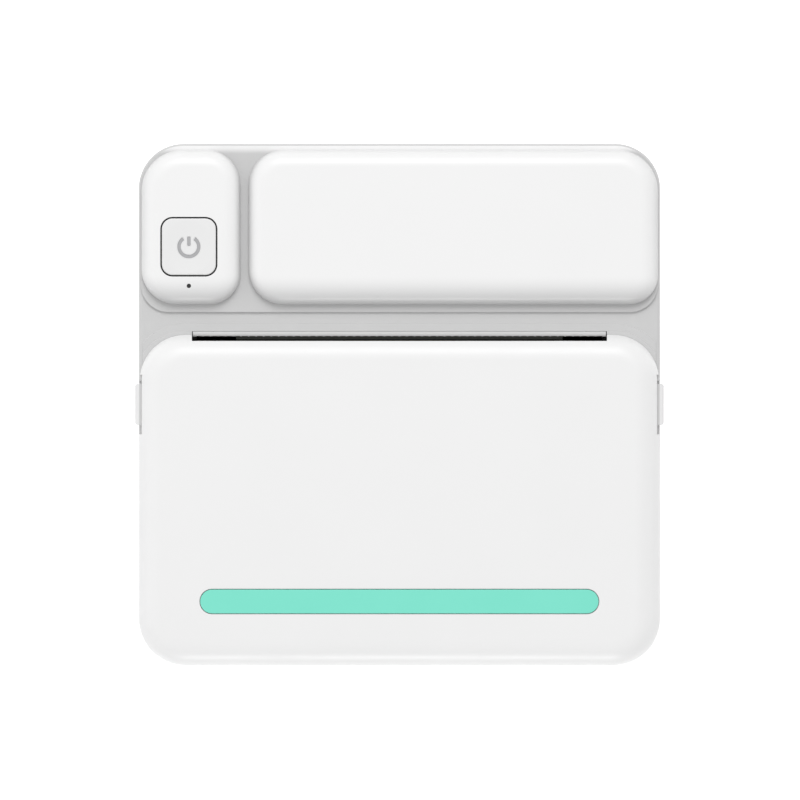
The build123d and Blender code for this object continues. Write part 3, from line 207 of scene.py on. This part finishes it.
# Finishes and painted shade: the tones below are painted shade, and a pair of depths says how far under
# the top of a piece its tone starts and ends its change

deck_shade_tone = 0.62
deck_shade_depths = (0.85 * mm, 0.55 * mm)
tab_inset = 0.12 * mm
plinth_shade_tone = 0.68
pod_shade_depths = (2.8 * mm, 0.1 * mm)
pod_inset = 1.2 * mm
near_shade_fade = 4.7 * mm
far_rim = (1.4 * mm, 0.2 * mm)
skirt_shade_tone = 0.06
skirt_shade_depths = (1.1 * mm, 0.7 * mm)
groove_shade_depths = (0.4 * mm, 0.1 * mm)
lip_shade_depths = (1.1 * mm, 0.05 * mm)
resin_height = 1.6 * mm


def white_plastic(name, colour, roughness, grain, shade=1.0, lit=None):
    """Moulded white plastic: spark-eroded grain, faint flow clouds, and patches smoothed by handling.
    Painted shade: the colour is times the shade where lit, a function of the paint, gives 0."""
    paint = Paint(name, Specular_IOR_Level=0.45)
    cloud = paint.noise(55.0, 4.0)
    speck = paint.noise(5200.0, 2.0, 0.6)
    handled = paint.noise(140.0, 5.0, 0.6).step(0.42, 0.72)
    tone = paint.mix(cloud, toned(colour, 0.985), toned(colour, 1.012))
    tone = paint.mix(handled * 0.15, tone, toned(colour, 0.97))
    if lit:
        tone = paint.mix(lit(paint), toned(colour, shade), tone)
    paint.feed(Base_Color=tone)
    paint.feed(Roughness=roughness + (speck - 0.5) * 0.06 + (handled - 0.5) * 0.05)
    paint.relief(speck + cloud * 0.3, 0.006 * mm * grain)
    return paint.material


def case_plastic():
    """Case: white at its sides and tabs, with painted shade making it greyer on the sunk deck around the
    cover.
    """
    paint = Paint("case_plastic", Specular_IOR_Level=0.4)
    cloud = paint.noise(55.0, 4.0)
    speck = paint.noise(4600.0, 2.0, 0.6)
    scuff = paint.noise(260.0, 5.0, 0.65).step(0.55, 0.8)
    sides = paint.mix(cloud, (0.835, 0.835, 0.835), (0.855, 0.855, 0.855))
    # painted shade: the deck's grey tone stands in for the shade around the cover and pods
    deck = paint.mix(cloud, (deck_shade_tone,) * 3, (deck_shade_tone + 0.02,) * 3)
    between_tabs = abs(paint.x) < case_high.x - tab_inset
    deck_shade_share = paint.rise_to(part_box("front_frame")[1].z, deck_shade_depths) * between_tabs
    tone = paint.mix(deck_shade_share, sides, deck)
    paint.feed(Base_Color=paint.mix(scuff * 0.12, tone, (0.78, 0.78, 0.77)))
    paint.feed(Roughness=0.42 + (speck - 0.5) * 0.08 + scuff * 0.05)
    paint.relief(speck + cloud * 0.3, 0.008 * mm)
    return paint.material


def cover_plastic():
    """Smooth satin white of the cover."""
    return white_plastic("cover_plastic", (0.90, 0.90, 0.90), 0.40, 0.6)


def pod_unshaded_share(paint):
    """Share left unshaded: 0 in the painted shade on the plinth, rising up the pods and away from their
    near edge, and 1 along the far rim.
    """
    low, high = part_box("pod_panel")
    near = low.y + pod_inset
    # painted shade: the pods darken towards their near edge and down their flanks to the plinth
    inwards = paint.y.step(near, near + near_shade_fade)
    rim = paint.y.step(high.y - far_rim[0], high.y - far_rim[1])
    return (paint.rise_to(high.z, pod_shade_depths) * inwards).larger(rim)


def pod_plastic():
    """Satin white of the pods, with painted shade on the plinth that they stand on, on their lower flanks
    and towards their near edge.
    """
    return white_plastic("pod_plastic", (0.91, 0.91, 0.91), 0.38, 0.6, plinth_shade_tone, pod_unshaded_share)


def cap_unshaded_share(paint):
    """0 on the button's skirt, which takes painted shade, and 1 on its cap."""
    # painted shade: the skirt below the cap is made near black
    return paint.rise_to(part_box("power_button")[1].z, skirt_shade_depths)


def button_plastic():
    """Fine matte white of the button's dished cap, on a skirt painted near black as painted shade, which
    darkens the gap round it.
    """
    return white_plastic("button_plastic", (0.84, 0.84, 0.84), 0.46, 1.0, skirt_shade_tone, cap_unshaded_share)


def tear_plastic():
    """Pale lip of the slot, with painted shade darkening it lower down towards the slot, and faint patches
    of paper dust.
    """
    paint = Paint("tear_plastic", Specular_IOR_Level=0.4)
    speck = paint.noise(3800.0, 3.0)
    dust = paint.noise(900.0, 4.0)
    lip = paint.rise_to(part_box("tear_bar")[1].z, lip_shade_depths)
    # painted shade: the lip turns dark below its top, towards the slot
    tone = paint.mix(lip, (0.24, 0.24, 0.235), (0.73, 0.73, 0.73))
    paint.feed(Base_Color=paint.mix(dust * 0.2, tone, (0.60, 0.60, 0.58)))
    paint.feed(Roughness=0.45 + (speck - 0.5) * 0.1)
    paint.relief(speck, 0.006 * mm)
    return paint.material


def inner_plastic():
    """Plain white plastic inside the case, with faint tool marks."""
    paint = Paint("inner_plastic", Specular_IOR_Level=0.4)
    speck = paint.noise(3000.0, 3.0)
    marks = paint.noise(1.0, 2.0, 0.6, place=paint.stretched(60.0, 2600.0, 2600.0))
    cloud = paint.noise(70.0, 4.0)
    paint.feed(Base_Color=paint.mix(cloud, (0.84, 0.84, 0.835), (0.88, 0.88, 0.875)))
    paint.feed(Roughness=0.38 + (marks - 0.5) * 0.15)
    paint.relief(speck * 0.5 + marks, 0.006 * mm)
    return paint.material


def mint_plastic():
    """Mint inlay: fine satin surface, a trace of depth in its colour, and painted shade darkening its
    sides in its groove.
    """
    paint = Paint("mint_plastic", Specular_IOR_Level=0.45)
    speck = paint.noise(4200.0, 2.0)
    cloud = paint.noise(90.0, 4.0)
    tone = paint.mix(cloud, (0.205, 0.785, 0.62), (0.235, 0.825, 0.66))
    face = paint.rise_to(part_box("accent_strip")[1].z, groove_shade_depths)
    # painted shade: the inlay's sides below its face are made near black
    paint.feed(Base_Color=paint.mix(face, (0.02, 0.06, 0.05), tone))
    paint.feed(Roughness=0.36 + (speck - 0.5) * 0.08)
    paint.relief(speck, 0.004 * mm)
    return paint.material


def print_ink():
    """Grey pad-printed ink, a grainy film."""
    paint = Paint("print_ink", Specular_IOR_Level=0.3)
    speck = paint.noise(7000.0, 2.0)
    paint.feed(Base_Color=paint.mix(speck, (0.40, 0.40, 0.41), (0.50, 0.50, 0.51)))
    paint.feed(Roughness=0.6 + (speck - 0.5) * 0.1)
    paint.relief(speck, 0.002 * mm)
    return paint.material


def black_plastic(name, colour=(0.022, 0.022, 0.022), roughness=0.5, fibre=0.0):
    """Black moulded plastic; a glass-filled one shows short pale fibres."""
    paint = Paint(name, Specular_IOR_Level=0.4)
    speck = paint.noise(4000.0, 3.0)
    hairs = paint.noise(1.0, 2.0, 0.7, place=paint.stretched(900.0, 5200.0, 5200.0)).step(0.62, 0.72)
    cloud = paint.noise(110.0, 4.0)
    tone = paint.mix(cloud, toned(colour, 0.85), toned(colour, 1.35))
    paint.feed(Base_Color=paint.mix(hairs * fibre, tone, (0.10, 0.10, 0.098)))
    paint.feed(Roughness=roughness + (speck - 0.5) * 0.12)
    paint.relief(speck + hairs * 0.6, 0.01 * mm)
    return paint.material


def tinted_plastic(name, colour, roughness):
    """Self-coloured engineering plastic with a waxy sheen and faint mould flow."""
    paint = Paint(name, Specular_IOR_Level=0.5)
    flow = paint.noise(1.0, 3.0, 0.6, place=paint.stretched(180.0, 420.0, 420.0))
    speck = paint.noise(4600.0, 2.0)
    paint.feed(Base_Color=paint.mix(flow, toned(colour, 0.94), toned(colour, 1.04)))
    paint.feed(Roughness=roughness + (speck - 0.5) * 0.07)
    paint.relief(speck + flow, 0.004 * mm)
    return paint.material


def metal(name, colour, roughness, along, scratch, spots=0.0):
    """Metal with fine lines drawn out along one axis, and dull spots where it is plated."""
    paint = Paint(name, Metallic=1.0)
    stretch = (45.0 if axis == along else 6000.0 for axis in "xyz")
    lines = paint.noise(1.0, 3.0, 0.6, place=paint.stretched(*stretch))
    cloud = paint.noise(240.0, 4.0)
    dull = paint.noise(700.0, 4.0, 0.6).step(0.5, 0.75)
    tone = paint.mix(cloud, toned(colour, 0.88), toned(colour, 1.05))
    paint.feed(Base_Color=paint.mix(dull * spots, tone, toned(colour, 0.7)))
    paint.feed(Roughness=roughness + (lines - 0.5) * scratch + dull * spots * 0.3)
    paint.relief(lines, 0.004 * mm)
    return paint.material


rings_outwards = 2.2e7
rings_along = 42000.0


def turned_brass():
    """Brass of the pinion, with rings that run round the motor's shaft: the sine of y² + z², from the
    shaft's middle, times one value, plus x times the other."""
    paint = Paint("pinion_brass", Metallic=1.0)
    low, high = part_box("motor_shaft")
    y = paint.y - (low.y + high.y) / 2
    z = paint.z - (low.z + high.z) / 2
    rings = ((y * y + z * z) * rings_outwards + paint.x * rings_along).sine()
    cloud = paint.noise(300.0, 4.0)
    paint.feed(Base_Color=paint.mix(cloud, (0.702, 0.504, 0.216), (0.819, 0.588, 0.252)))
    paint.feed(Roughness=0.26 + rings * 0.05)
    paint.relief(rings, 0.0015 * mm)
    return paint.material


def foot_rubber():
    """Matte grey rubber of the feet: a ground surface with pale dust in it."""
    paint = Paint("foot_rubber", Specular_IOR_Level=0.35)
    grit = paint.noise(3600.0, 4.0, 0.65)
    dusty = paint.noise(420.0, 5.0, 0.6).step(0.5, 0.78)
    paint.feed(Base_Color=paint.mix(dusty * 0.3, (0.27, 0.28, 0.29), (0.401, 0.414, 0.427)))
    paint.feed(Roughness=0.75 + (grit - 0.5) * 0.2)
    paint.relief(grit, 0.014 * mm)
    return paint.material


def roller_rubber():
    """Dark silicone of the platen, ground round its axis, with a thin film of paper dust."""
    paint = Paint("roller_rubber", Specular_IOR_Level=0.35)
    grinding = paint.noise(1.0, 3.0, 0.6, place=paint.stretched(5200.0, 260.0, 260.0))
    dust = paint.noise(300.0, 6.0, 0.65).step(0.45, 0.85)
    paint.feed(Base_Color=paint.mix(dust * 0.3, (0.028, 0.028, 0.030), (0.13, 0.13, 0.13)))
    paint.feed(Roughness=0.62 + (grinding - 0.5) * 0.2)
    paint.relief(grinding, 0.012 * mm)
    return paint.material


def foam():
    """Black foam with open pores."""
    paint = Paint("foam", Specular_IOR_Level=0.2)
    pores = paint.cells(2600.0)
    grit = paint.noise(2400.0, 3.0)
    paint.feed(Base_Color=paint.mix(pores, (0.012, 0.012, 0.012), (0.07, 0.07, 0.072)))
    paint.feed(Roughness=0.9 + (grit - 0.5) * 0.1)
    paint.relief(pores, 0.12 * mm)
    return paint.material


def ceramic():
    """Glazed white ceramic with a few dark specks, and a band of dark resin along its top."""
    paint = Paint("ceramic", Coat_Weight=0.4, Coat_Roughness=0.08)
    speck = paint.noise(2600.0, 3.0).step(0.66, 0.72)
    cloud = paint.noise(160.0, 4.0)
    tone = paint.mix(cloud, (0.74, 0.73, 0.68), (0.80, 0.79, 0.74))
    tone = paint.mix(speck * 0.35, tone, (0.35, 0.32, 0.28))
    resin_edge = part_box("head_substrate")[1].z - resin_height
    paint.feed(Base_Color=paint.mix(paint.z > resin_edge, tone, (0.022, 0.026, 0.008)))
    paint.feed(Roughness=0.28 + cloud * 0.08)
    paint.relief(cloud, 0.004 * mm)
    return paint.material


ribbon_pitch = 0.8 * mm
track_pitch = 1.1 * mm
braid_pitch = 0.5 * mm


def amber_film():
    """Flexible ribbon: amber film over fine copper tracks that run along it."""
    paint = Paint("amber_film", Coat_Weight=0.5, Coat_Roughness=0.15)
    tracks = (paint.x * (tau / ribbon_pitch)).sine().step(-0.2, 0.2)
    crease = paint.noise(500.0, 4.0)
    tone = paint.mix(tracks, (0.42, 0.17, 0.035), (0.62, 0.30, 0.08))
    paint.feed(Base_Color=paint.mix(crease * 0.3, tone, (0.30, 0.13, 0.03)))
    paint.feed(Roughness=0.32 + crease * 0.12)
    paint.relief(tracks + crease * 0.4, 0.02 * mm)
    return paint.material


def circuit_board():
    """Green solder mask over copper tracks, with tinned pads and a bare brown edge."""
    paint = Paint("circuit_board", Coat_Weight=0.3, Coat_Roughness=0.12)
    low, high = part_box("main_board")
    area = paint.noise(150.0, 2.0)
    run_x, run_y = ((across * (tau / track_pitch)).sine().step(0.45, 0.6) for across in (paint.y, paint.x))
    side = area > 0.5
    track = run_x * side + run_y * (1.0 - side)
    pads = paint.cells(420.0) < 0.11
    tone = paint.mix(track, (0.010, 0.10, 0.045), (0.022, 0.19, 0.085))
    tone = paint.mix(pads, tone, (0.62, 0.62, 0.60))
    middle = (low.z + high.z) / 2
    edge = abs(paint.z - middle) < (high.z - low.z) * 0.47
    paint.feed(Base_Color=paint.mix(edge, tone, (0.28, 0.22, 0.10)))
    paint.feed(Roughness=0.34 + area * 0.1 + edge * 0.3)
    paint.feed(Metallic=pads * 0.8)
    paint.relief(track + pads, 0.03 * mm)
    return paint.material


def pouch_foil():
    """Silver pouch of the battery cell: soft dents and a faint weave of creases."""
    paint = Paint("pouch_foil", Metallic=0.85)
    dents = paint.noise(130.0, 3.0)
    creases = paint.cells(300.0, "DISTANCE_TO_EDGE").step(0.0, 0.08)
    paint.feed(Base_Color=paint.mix(dents, (0.52, 0.53, 0.55), (0.66, 0.67, 0.69)))
    paint.feed(Roughness=0.36 + (dents - 0.5) * 0.15)
    paint.relief(dents + creases * 0.25, 0.10 * mm)
    return paint.material


def woven_sleeve():
    """Black braided sleeve of the leads."""
    paint = Paint("woven_sleeve", Specular_IOR_Level=0.3)
    over = ((paint.x + paint.z) * (tau / braid_pitch)).sine()
    under = ((paint.y - paint.z) * (tau / braid_pitch)).sine()
    fuzz = paint.noise(2200.0, 3.0)
    paint.feed(Base_Color=paint.mix(fuzz, (0.014, 0.014, 0.015), (0.045, 0.045, 0.048)))
    paint.feed(Roughness=0.7 + (fuzz - 0.5) * 0.15)
    paint.relief(over * under, 0.03 * mm)
    return paint.material


def smoked_window():
    """Dark smoked plastic of the light's window."""
    paint = Paint("smoked_window", Coat_Weight=0.5, Coat_Roughness=0.06)
    haze = paint.noise(2600.0, 3.0)
    paint.feed(Base_Color=paint.mix(haze, (0.006, 0.006, 0.006), (0.016, 0.016, 0.016)))
    paint.feed(Roughness=0.28 + haze * 0.1)
    return paint.material


def heater_glaze():
    """Dark brown glass over the heater."""
    paint = Paint("heater_glaze", Coat_Weight=0.8, Coat_Roughness=0.05)
    band = paint.noise(900.0, 3.0)
    paint.feed(Base_Color=paint.mix(band, (0.05, 0.032, 0.02), (0.11, 0.075, 0.05)))
    paint.feed(Roughness=0.2 + band * 0.1)
    return paint.material


# Meshes worked out with numpy

half_turn = np.linspace(0, pi, 9)
same_place = 0.001 * mm


def grid_faces(rows, columns):
    """Quads between neighbouring rows, where each row of points closes on itself."""
    row, column = np.meshgrid(np.arange(rows - 1), np.arange(columns), indexing="ij")
    after = (column + 1) % columns
    near = row * columns
    far = near + columns
    return np.stack((near + column, near + after, far + after, far + column), -1).reshape(-1, 4)


def swept(section, path, sideways, upwards):
    """Closed section carried along a path, with flat ends. Point (i, j) is path i, plus the section's
    first value j along sideways i, plus its second along upwards i. One direction serves a whole path."""
    sideways, upwards = (np.broadcast_to(axis, path.shape)[:, None] for axis in (sideways, upwards))
    rings = path[:, None] + section[None, :, :1] * sideways + section[None, :, 1:] * upwards
    rows, columns = rings.shape[:2]
    last = (rows - 1) * columns
    ends = [list(range(columns))[::-1], list(range(last, last + columns))]
    return rings.reshape(-1, 3), grid_faces(rows, columns).tolist() + ends


def blocks(centres, size):
    """Boxes of one size: the eight corners of a unit cube, scaled by the size and moved to each centre."""
    corner = np.array([(x, y, z) for z in (-1, 1) for x, y in ((-1, -1), (1, -1), (1, 1), (-1, 1))]) / 2
    points = np.asarray(centres)[:, None] + corner[None] * size
    sides = [[0, 3, 2, 1], [4, 5, 6, 7], [0, 1, 5, 4], [1, 2, 6, 5], [2, 3, 7, 6], [3, 0, 4, 7]]
    faces = np.array(sides)[None] + 8 * np.arange(len(points))[:, None, None]
    return points.reshape(-1, 3), faces.reshape(-1, 4).tolist()


def make_piece(name, shapes, material, body, replaced=(), smooth_angle=35.0, bevel=0.0):
    """One mesh object from a list of (points, faces), in metres, that rides on a body."""
    points = np.concatenate([shape[0] for shape in shapes])
    faces = []
    start = 0
    for shape_points, shape_faces in shapes:
        faces += [[start + index for index in face] for face in shape_faces]
        start += len(shape_points)
    mesh = bpy.data.meshes.new(name)
    mesh.from_pydata(points.tolist(), [], faces)
    mesh.shade_smooth()
    mesh.set_sharp_from_angle(angle=radians(smooth_angle))
    mesh.materials.append(material)
    piece = bpy.data.objects.new(name, mesh)
    bpy.context.scene.collection.objects.link(piece)
    if bevel:
        rounding = piece.modifiers.new("rounding", "BEVEL")
        rounding.width = bevel
        rounding.segments = 2
        rounding.limit_method = "ANGLE"
    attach(piece, body)
    if replaced:
        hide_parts(*replaced)


def circle(radius, sides):
    """Outline of a circle, counter-clockwise: r cos t by r sin t."""
    turn = np.arange(sides) / sides * tau
    return np.stack([radius * np.cos(turn), radius * np.sin(turn)], -1)


def rectangle(width, height):
    """Outline of a rectangle, counter-clockwise: half a width and half a height each way."""
    return np.array([(-1, -1), (1, -1), (1, 1), (-1, 1)]) * (width / 2, height / 2)


def bar_outline(length, width):
    """Outline of a bar along Y with round ends, counter-clockwise.
    Each end is a half circle, w/2 cos t by w/2 sin t."""
    cap = np.stack([np.cos(half_turn), np.sin(half_turn)], -1) * width / 2 + (0, (length - width) / 2)
    return np.concatenate([cap, -cap])


def solid_boxes(node):
    """Lowest and highest corner of each separate solid of a CAD node.
    Points at one place take one number, and each triangle gives its corners the least of their numbers."""
    mesh = nodes[node].data
    points = np.empty(len(mesh.vertices) * 3, np.float32)
    mesh.vertices.foreach_get("co", points)
    points = points.reshape(-1, 3)
    corners = np.empty(len(mesh.loops), np.int32)
    mesh.loops.foreach_get("vertex_index", corners)
    steps = np.round(points / same_place).astype(np.int64)
    places, same = np.unique(steps, axis=0, return_inverse=True)
    same = same.reshape(-1)
    triangles = same[corners.reshape(-1, 3)]
    group = np.arange(len(places))
    settled = False
    while not settled:
        before = group.copy()
        least = group[triangles].min(1)
        for corner in range(3):
            np.minimum.at(group, triangles[:, corner], least)
        settled = (group == before).all()
    groups = group[same]
    return [(points[groups == g].min(0), points[groups == g].max(0)) for g in np.unique(groups)]


# New pieces

spring_turns = 4.5
spring_end_turns = 0.7
spring_wire = 0.5 * mm
spring_end_pitch = 0.9 * spring_wire
spring_points = 200
spring_sides = 10


def coil_springs():
    """Three compression springs behind the heat sink.
    The wire's centre is (r cos t, y, r sin t), where y rises steadily between two flat end turns."""
    low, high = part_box("head_springs")
    outer = (high.z - low.z) / 2
    radius = outer - spring_wire / 2
    middle_z = (low.z + high.z) / 2
    turn = np.linspace(0, spring_turns * tau, spring_points)
    done = turn / tau
    share = np.clip((done - spring_end_turns) / (spring_turns - 2 * spring_end_turns), 0, 1)
    flat = np.minimum(done, spring_end_turns) + np.maximum(done - spring_turns + spring_end_turns, 0)
    rise = high.y - low.y - spring_wire - 2 * spring_end_turns * spring_end_pitch
    y = low.y + spring_wire / 2 + rise * share + spring_end_pitch * flat
    outwards = np.stack([np.cos(turn), np.zeros_like(turn), np.sin(turn)], -1)
    wire = circle(spring_wire / 2, spring_sides)
    shapes = []
    for x in (low.x + outer, 0.0, high.x - outer):
        centre = np.stack([np.full_like(turn, x), y, np.full_like(turn, middle_z)], -1)
        path = centre + radius * outwards
        along = np.gradient(path, axis=0)
        along /= np.linalg.norm(along, axis=1)[:, None]
        shapes.append(swept(wire, path, outwards, np.cross(along, outwards)))
    steel = finishes["spring_steel"]
    make_piece("coil_springs", shapes, steel, "base", ["head_springs"], smooth_angle=60)


sign_radius = 1.565 * mm
sign_width = 0.53 * mm
sign_opening = radians(36.0)
sign_bar = (0.10 * mm, 1.66 * mm)
sign_depth = 0.34 * mm
sign_points = 60
ink_thickness = 0.05 * mm


def power_sign():
    """Ink in the button's sunk sign: an open ring, r cos t by r sin t, and a bar in its gap."""
    low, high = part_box("power_button")
    middle = np.array((low + high) / 2)
    middle[2] = high.z - sign_depth + ink_thickness / 2
    turn = np.linspace(pi / 2 + sign_opening, pi / 2 + tau - sign_opening, sign_points)
    outwards = np.stack([np.cos(turn), np.sin(turn), np.zeros_like(turn)], -1)
    section = rectangle(sign_width, ink_thickness)[::-1]
    ring = swept(section, middle + sign_radius * outwards, outwards, (0, 0, 1))
    bar_path = middle + (0, sum(sign_bar) / 2, 0) + np.array([[0, 0, -0.5], [0, 0, 0.5]]) * ink_thickness
    bar = swept(bar_outline(sign_bar[1] - sign_bar[0], sign_width), bar_path, (1, 0, 0), (0, 1, 0))
    make_piece("power_sign", [ring, bar], print_ink(), "button")


glaze_half_width = 0.9 * mm
glaze_height = 0.05 * mm
glaze_inset = 1.0 * mm


def heater_line():
    """Glassy ridge along the ceramic strip, opposite the roller.
    Its section is a low half-ellipse, a cos t by b sin t, carried across the paper."""
    low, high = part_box("head_substrate")
    shaft_low, shaft_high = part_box("platen_shaft")
    level = (shaft_low.z + shaft_high.z) / 2
    section = np.stack([glaze_half_width * np.cos(half_turn), glaze_height * np.sin(half_turn)], -1)
    ends = np.array([[low.x + glaze_inset, low.y, level], [high.x - glaze_inset, low.y, level]])
    line = swept(section, ends, (0, 0, 1), (0, -1, 0))
    make_piece("heater_line", [line], heater_glaze(), "print_head")


contact_count = 6
contact_pitch = 0.85 * mm
contact_size = (0.42 * mm, 3.4 * mm, 0.05 * mm)
contact_inset = 2.6 * mm
tongue_half_height = 0.36 * mm


def port_contacts():
    """Gold contacts on both faces of the charging socket's tongue."""
    low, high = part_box("usb_socket")
    middle = (low + high) / 2
    steps = (np.arange(contact_count) - (contact_count - 1) / 2) * contact_pitch
    levels = (middle.z - tongue_half_height, middle.z + tongue_half_height)
    centres = [(middle.x + step, high.y - contact_inset, level) for level in levels for step in steps]
    gold = metal("gold_contacts", (0.86, 0.62, 0.24), 0.28, "y", 0.15, 0.2)
    make_piece("port_contacts", [blocks(centres, contact_size)], gold, "base")


leg_pitch = 1.0 * mm
leg_size = (0.7 * mm, 0.4 * mm, 0.2 * mm)
leg_reach = 0.3 * mm
leg_level = 0.12 * mm
leg_bevel = 0.04 * mm


def chip_legs():
    """Legs along two sides of each flat chip on the board."""
    shapes = []
    for low, high in solid_boxes("board_chips"):
        length = high[1] - low[1]
        count = int(length / leg_pitch)
        y = low[1] + length * (np.arange(count) + 0.5) / count
        z = np.full(count, low[2] + leg_level)
        for x in (low[0] - leg_reach, high[0] + leg_reach):
            shapes.append(blocks(np.stack([np.full(count, x), y, z], -1), leg_size))
    make_piece("chip_legs", shapes, finishes["shield_can"], "base", bevel=leg_bevel)


small_part_count = 46
small_part_tries = 900
small_part_seed = 11
small_part_grid = 1.5 * mm
small_part_level = 0.22 * mm
small_part_body = (0.6 * mm, 0.45 * mm, 0.4 * mm)
small_part_end = (0.22 * mm, 0.5 * mm, 0.44 * mm)
small_part_end_step = 0.4 * mm
board_margin = np.array((9 * mm, 2 * mm))
part_clearance = 1.6 * mm
screw_clearance = 4.0 * mm


def board_parts():
    """Resistors and capacitors on the board's upper face, scattered from a seed, clear of the rest."""
    low, high = map(np.array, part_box("main_board"))
    others = ("wireless_module", "switch_base", "status_light", "light_pipe")
    taken = solid_boxes("board_chips") + [tuple(map(np.array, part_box(node))) for node in others]
    generator = np.random.default_rng(small_part_seed)
    spots = generator.uniform(low[:2] + board_margin, high[:2] - board_margin, (small_part_tries, 2))
    for other_low, other_high in taken:
        outside = (spots < other_low[:2] - part_clearance) | (spots > other_high[:2] + part_clearance)
        spots = spots[outside.any(1)]
    for screw_low, screw_high in solid_boxes("board_screws"):
        centre = (screw_low[:2] + screw_high[:2]) / 2
        spots = spots[np.linalg.norm(spots - centre, axis=1) > screw_clearance]
    spots = np.unique(np.round(spots / small_part_grid), axis=0) * small_part_grid
    spots = generator.permutation(spots)[:small_part_count]
    bodies = np.column_stack([spots, np.full(len(spots), high[2] + small_part_level)])
    brown = tinted_plastic("part_body", (0.30, 0.22, 0.14), 0.4)
    make_piece("small_parts", [blocks(bodies, small_part_body)], brown, "base")
    ends = np.concatenate([bodies + (side * small_part_end_step, 0, 0) for side in (-1, 1)])
    tin = finishes["shield_can"]
    make_piece("part_ends", [blocks(ends, small_part_end)], tin, "base")


# Stage: each lamp has its place in metres, the side of its square in metres, and its power in watts

floor_glow = 0.60
floor_colour = 0.90
floor_half = 3.0
floor_drop = 0.02 * mm
sky_strength = 0.60
lamp_aim = (0.0, 0.0, 30 * mm)
lamps = {
    "key": ((0.0, 0.62, 0.86), 0.5, 4.3),
    "near": ((0.0, -1.0, 0.12), 0.2, 2.2),
    "left": ((-1.0, 0.0, 0.28), 0.4, 0.6),
    "upper_left": ((-0.75, 0.0, 0.75), 0.5, 0.65),
    "right": ((1.0, 0.0, 0.28), 0.4, 0.5),
}


def make_floor():
    """Wide pale floor, a hair under the feet, that looks white and keeps the object's soft shadow."""
    corners = [(*corner * floor_half, -floor_drop) for corner in rectangle(2, 2)]
    mesh = bpy.data.meshes.new("floor")
    mesh.from_pydata(corners, [], [(0, 1, 2, 3)])
    floor = bpy.data.objects.new("floor", mesh)
    bpy.context.scene.collection.objects.link(floor)
    white = (floor_colour, floor_colour, floor_colour, 1.0)
    paint = Paint(
        "floor_white", Base_Color=white, Specular_IOR_Level=0.0, Roughness=1.0, Emission_Strength=1.0
    )
    rays = ("Is Camera Ray", "Is Glossy Ray", "Is Transmission Ray")
    camera, glossy, clear = (paint.node("ShaderNodeLightPath", {}, output=ray) for ray in rays)
    paint.feed(Emission_Color=camera.larger(glossy).larger(clear) * floor_glow)
    mesh.materials.append(paint.material)


def make_light(name, place, size, power):
    """Square area lamp at a place, turned towards the object."""
    data = bpy.data.lights.new(name, "AREA")
    data.shape = "SQUARE"
    data.size = size
    data.energy = power
    lamp = bpy.data.objects.new(name, data)
    lamp.location = place
    lamp.visible_camera = False
    lamp.rotation_euler = (Vector(lamp_aim) - Vector(place)).to_track_quat("-Z", "Y").to_euler()
    bpy.context.scene.collection.objects.link(lamp)


def make_sky():
    """Even white light from all round."""
    world = bpy.data.worlds.new("studio")
    world.use_nodes = True
    background = world.node_tree.nodes["Background"]
    background.inputs["Color"].default_value = (1, 1, 1, 1)
    background.inputs["Strength"].default_value = sky_strength
    bpy.context.scene.world = world


make_camera()
make_floor()
make_sky()
for name, (place, size, power) in lamps.items():
    make_light(name, place, size, power)
bpy.context.scene.view_settings.view_transform = "Standard"

finishes = {
    "case_white": case_plastic(),
    "cover_white": cover_plastic(),
    "pod_white": pod_plastic(),
    "button_white": button_plastic(),
    "mint_strip": mint_plastic(),
    "tear_edge": tear_plastic(),
    "bin_plastic": inner_plastic(),
    "foot_rubber": foot_rubber(),
    "roller_rubber": roller_rubber(),
    "pad_foam": foam(),
    "frame_black": black_plastic("frame_black", fibre=0.5),
    "bushing_plastic": black_plastic("bushing_plastic", (0.035, 0.035, 0.038), 0.42),
    "chip_black": black_plastic("chip_black", (0.018, 0.018, 0.018), 0.55),
    "switch_plastic": black_plastic("switch_plastic", (0.03, 0.03, 0.03), 0.45),
    "sensor_black": black_plastic("sensor_black", (0.015, 0.015, 0.016), 0.35),
    "light_lens": smoked_window(),
    "light_body": tinted_plastic("light_body", (0.78, 0.74, 0.42), 0.35),
    "socket_plastic": tinted_plastic("socket_plastic", (0.76, 0.72, 0.58), 0.42),
    "gear_plastic": tinted_plastic("gear_plastic", (0.82, 0.81, 0.76), 0.36),
    "pinion_brass": turned_brass(),
    "shaft_steel": metal("shaft_steel", (0.62, 0.62, 0.63), 0.22, "x", 0.15),
    "screw_steel": metal("screw_steel", (0.55, 0.55, 0.56), 0.34, "z", 0.2, 0.3),
    "spring_steel": metal("spring_steel", (0.50, 0.50, 0.51), 0.3, "y", 0.15, 0.2),
    "socket_steel": metal("socket_steel", (0.60, 0.60, 0.60), 0.3, "y", 0.2, 0.2),
    "heat_sink": metal("heat_sink", (0.70, 0.71, 0.72), 0.38, "x", 0.25),
    "motor_can": metal("motor_can", (0.56, 0.57, 0.58), 0.3, "x", 0.2, 0.3),
    "shield_can": metal("shield_can", (0.64, 0.64, 0.62), 0.34, "y", 0.1, 0.35),
    "head_ceramic": ceramic(),
    "ribbon_film": amber_film(),
    "board_green": circuit_board(),
    "battery_foil": pouch_foil(),
    "lead_sleeve": woven_sleeve(),
}
for part in frame["record"]["subparts"]:
    for slot in nodes[part["node"]].material_slots:
        slot.material = finishes[part["material_slot"]]

coil_springs()
power_sign()
heater_line()
port_contacts()
chip_legs()
board_parts()
